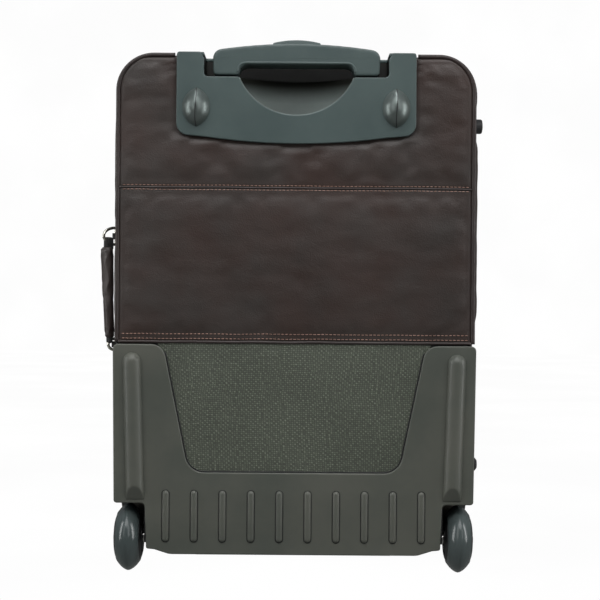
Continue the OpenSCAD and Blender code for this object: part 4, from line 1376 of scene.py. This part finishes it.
forward = Vector((0, 1, 0))
stations = []
for t in steps(0, 1, 48):
    full = closing(min(t, 1 - t) * 0.116, 0.006, 0.6)
    stations.append((-0.058 + 0.116 * t, 0.0112 * full, 0.0047 * full, 0.0172))
top_grip = bar_pad("top_grip_pad", top_at, forward, up, stations)
settle(top_grip, lambda p: abs(p.x) > 0.0545, 3.0, 0.01, cap=0.0007)
finish_piece(soften(top_grip, 60), "leather", "top_handle", "top_handle_grip")
parts = []
half_tab = [(0.050, 0.0125, 0.0026), (0.060, 0.0118, 0.0026), (0.068, 0.0105, 0.0028),
            (0.0725, 0.0098, 0.0018)]
TAB = half_tab + [(0.0735, 0.0095, 0.0)] + [(x, y, -z) for x, y, z in reversed(half_tab)]
for side, word in SIDES:
    d_ring("top_ring_" + word, Vector((side * 0.07, 0, TOP_Z)), Vector((side, 0, 0)), forward,
           "top_handle", "pale_metal", "top_handle_rings" if side > 0 else None)
    parts.append(strap("tab", [Vector((side * x, y, TOP_Z + z)) for x, y, z in TAB], forward, 0.0085))
finish_piece(join("top_handle_tabs", parts), "leather_edge", "top_handle")
parts = []
for side in (-1, 1):
    x = side * 0.07
    parts.append(cuboid("base", (x - 0.0095, -0.0105, TOP - 0.0004),
                        (x + 0.0095, 0.0045, TOP + 0.0022), 0.0008))
    path = [Vector((x, KEEPER_R * math.sin(a), TOP_Z + KEEPER_R * math.cos(a)))
            for a in steps(math.radians(-130), math.radians(130), 16)]
    path = [Vector((x, -0.0085, TOP + 0.0021))] + path + [Vector((x, 0.0035, TOP + 0.0021))]
    parts.append(strap("keeper", path, Vector((1, 0, 0)), 0.0095, 0.001))
finish_piece(join("top_anchor_loops", parts), "webbing", "case", "top_handle_anchors")
top_rows = [level_row(0.053, 0.0172 + shift, TOP_Z + 0.0040) for shift in (-0.0088, 0.0088)]
finish_piece(stitches("top_grip_stitches", top_rows, side="top"), "thread", "top_handle")

# ---------------------------------------------------------------- sliders and pulls

for node in ("main_slider_left", "main_slider_right", "pocket_slider",
             "main_pull_left", "main_pull_right", "pocket_pull"):
    finish_piece(moulded(node, 0.0004, 2), "steel", node, node)

# ---------------------------------------------------------------- inside

paint_node("board", "frame_hoop", "back_board", "lid_board")
INSET = 0.0056
LINING_FRONT = 0.0545
lining_rows = spaced(LINING_FRONT, BOARD_Y, 0.007)
lining_line = round_path(case_corners(INSET), 0.007)
lining_out = outward(lining_line)


def lining_point(i, j):
    """A point of the lining, a little in from the wall, with shallow folds."""
    p, n, y = lining_line[i], lining_out[i], lining_rows[j]
    near = min(1.0, min(LINING_FRONT - y, y - BOARD_Y) / 0.012)
    sink = 0.0004 + (0.0012 + wrinkle((p.x, y, p.y), 0.03, 0.0012)) * near
    return Vector((p.x - n.x * sink, y, p.y - n.y * sink))


lining = grid("lining_walls_sheet", len(lining_line), len(lining_rows) - 1, lining_point, closed=True)
finish_piece(soften(lining, 180), "lining", "case", "lining_walls")
cut_sheet(lining)


def flat_panel(name, inset, y, facing, body, swell):
    """A sheet of cloth across the case, with shallow wrinkles."""
    zs = steps(BASE + inset, TOP - inset, 70)

    def half_at(z):
        rise = max(0.0, BASE + BASE_RISE - (z - inset))
        return min(half_width(z) - inset, HALF - inset - rise / BASE_RISE * (HALF - BASE_FLAT))

    def point(i, j):
        x = (2 * i / 48 - 1) * half_at(zs[j]) * facing
        rim = min(i, 48 - i, j, 70 - j) / 6
        fold = wrinkle((x, y, zs[j]), 0.03, 0.0012)
        return Vector((x, y - facing * (swell + fold) * min(1.0, rim), zs[j]))

    obj = grid(name, 48, 70, point)
    finish_piece(soften(obj, 180), "lining", body)
    return cut_sheet(obj)


lining_back = flat_panel("lining_back_sheet", INSET + 0.001, BOARD_Y, -1, "case", 0.0012)
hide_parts("lining_back")
flat_panel("lid_lining", 0.0035, 0.0762, 1, "lid", 0.0008)
for side, word in SIDES:
    a, b = sorted((side * 0.1446, side * (HALF - INSET - 0.0004)))
    cover = cuboid("housing_cover_" + word, (a, -0.0615, 0.033), (b, -0.0368, 0.0782), 0.003, 4)
    finish_piece(cover, "lining", "case")

# ---------------------------------------------------------------- stage, light and camera

scene = bpy.context.scene
scene.view_settings.view_transform = "Standard"
world = bpy.data.worlds.new("studio")
world.use_nodes = True
sky = world.node_tree
direction = add(sky, "ShaderNodeTexCoord").outputs["Generated"]
height = add(sky, "ShaderNodeSeparateXYZ", {0: direction}).outputs[2]
tones = add(sky, "ShaderNodeValToRGB", {"Fac": rescale(sky, height, from_min=-1.0, from_max=1.0)})
tones.color_ramp.elements[0].color = (0.42, 0.43, 0.42, 1)
tones.color_ramp.elements[1].color = (0.5, 0.52, 0.54, 1)
middle_tone = tones.color_ramp.elements.new(0.5)
middle_tone.color = (0.16, 0.16, 0.155, 1)
sky.links.new(tones.outputs["Color"], sky.nodes["Background"].inputs[0])
sky.nodes["Background"].inputs[1].default_value = 0.62
scene.world = world


def white_stage(name, corners, faces):
    """A white surface that the camera sees, and that neither lights the case nor takes its shadow."""
    obj = make(name, corners, faces, smooth=False)
    material, tree, shader = graph(name + "_white")
    where = place(tree)
    pale = ramp(tree, noise_map(tree, where, 2), (0.98, 0.98, 0.98), (1, 1, 1))
    tree.links.new(pale, shader.inputs["Emission Color"])
    shader.inputs["Emission Strength"].default_value = 1.0
    shader.inputs["Base Color"].default_value = (0, 0, 0, 1)
    shader.inputs["Specular IOR Level"].default_value = 0.0
    obj.data.materials.append(material)
    obj.visible_diffuse = False
    obj.visible_glossy = False
    obj.visible_shadow = False
    return obj


ROOM = ((-6, -6), (6, -6), (6, 6), (-6, 6))
white_stage("floor", [(x, y, 0) for x, y in ROOM], [(0, 1, 2, 3)])
white_stage("backdrop", [(x, y, z) for z in (0, 8) for x, y in ROOM],
            [(k, (k + 1) % 4, 4 + (k + 1) % 4, 4 + k) for k in range(4)])


def lamp(name, at, target, size, power, tall=None):
    """A soft studio light that points at a target."""
    data = bpy.data.lights.new(name, "AREA")
    data.energy = power
    data.size = size
    if tall:
        data.shape = "RECTANGLE"
        data.size_y = tall
    obj = bpy.data.objects.new(name, data)
    obj.location = at
    obj.rotation_euler = (Vector(target) - Vector(at)).to_track_quat("-Z", "Y").to_euler()
    scene.collection.objects.link(obj)
    return obj


lamp("key", (0.0, -1.15, 1.6), (0.0, 0, 0.25), 1.7, 15, 0.9)
lamp("left_strip", (-1.1, -1.1, 0.9), (0, 0, 0.2), 0.4, 3.2, 1.5)
lamp("right_strip", (1.1, -1.1, 0.9), (0, 0, 0.2), 0.4, 3.2, 1.5)
lamp("left_edge", (-1.6, -0.35, 0.5), (0, 0, 0.25), 0.3, 6, 1.2)
lamp("right_edge", (1.6, -0.35, 0.5), (0, 0, 0.25), 0.3, 7, 1.2)
lamp("over", (0, -0.3, 1.9), (0, 0, 0.3), 0.8, 6)

camera_data = bpy.data.cameras.new("camera")
camera_data.lens = 84
camera_data.sensor_width = 36
camera = bpy.data.objects.new("camera", camera_data)
level_view = Matrix.Rotation(math.radians(90), 4, "X")
roll = Matrix.Rotation(math.radians(0.43), 4, "Z")
camera.matrix_world = Matrix.Translation((0.0051, -1.506, 0.2757)) @ level_view @ roll
scene.collection.objects.link(camera)
scene.camera = camera
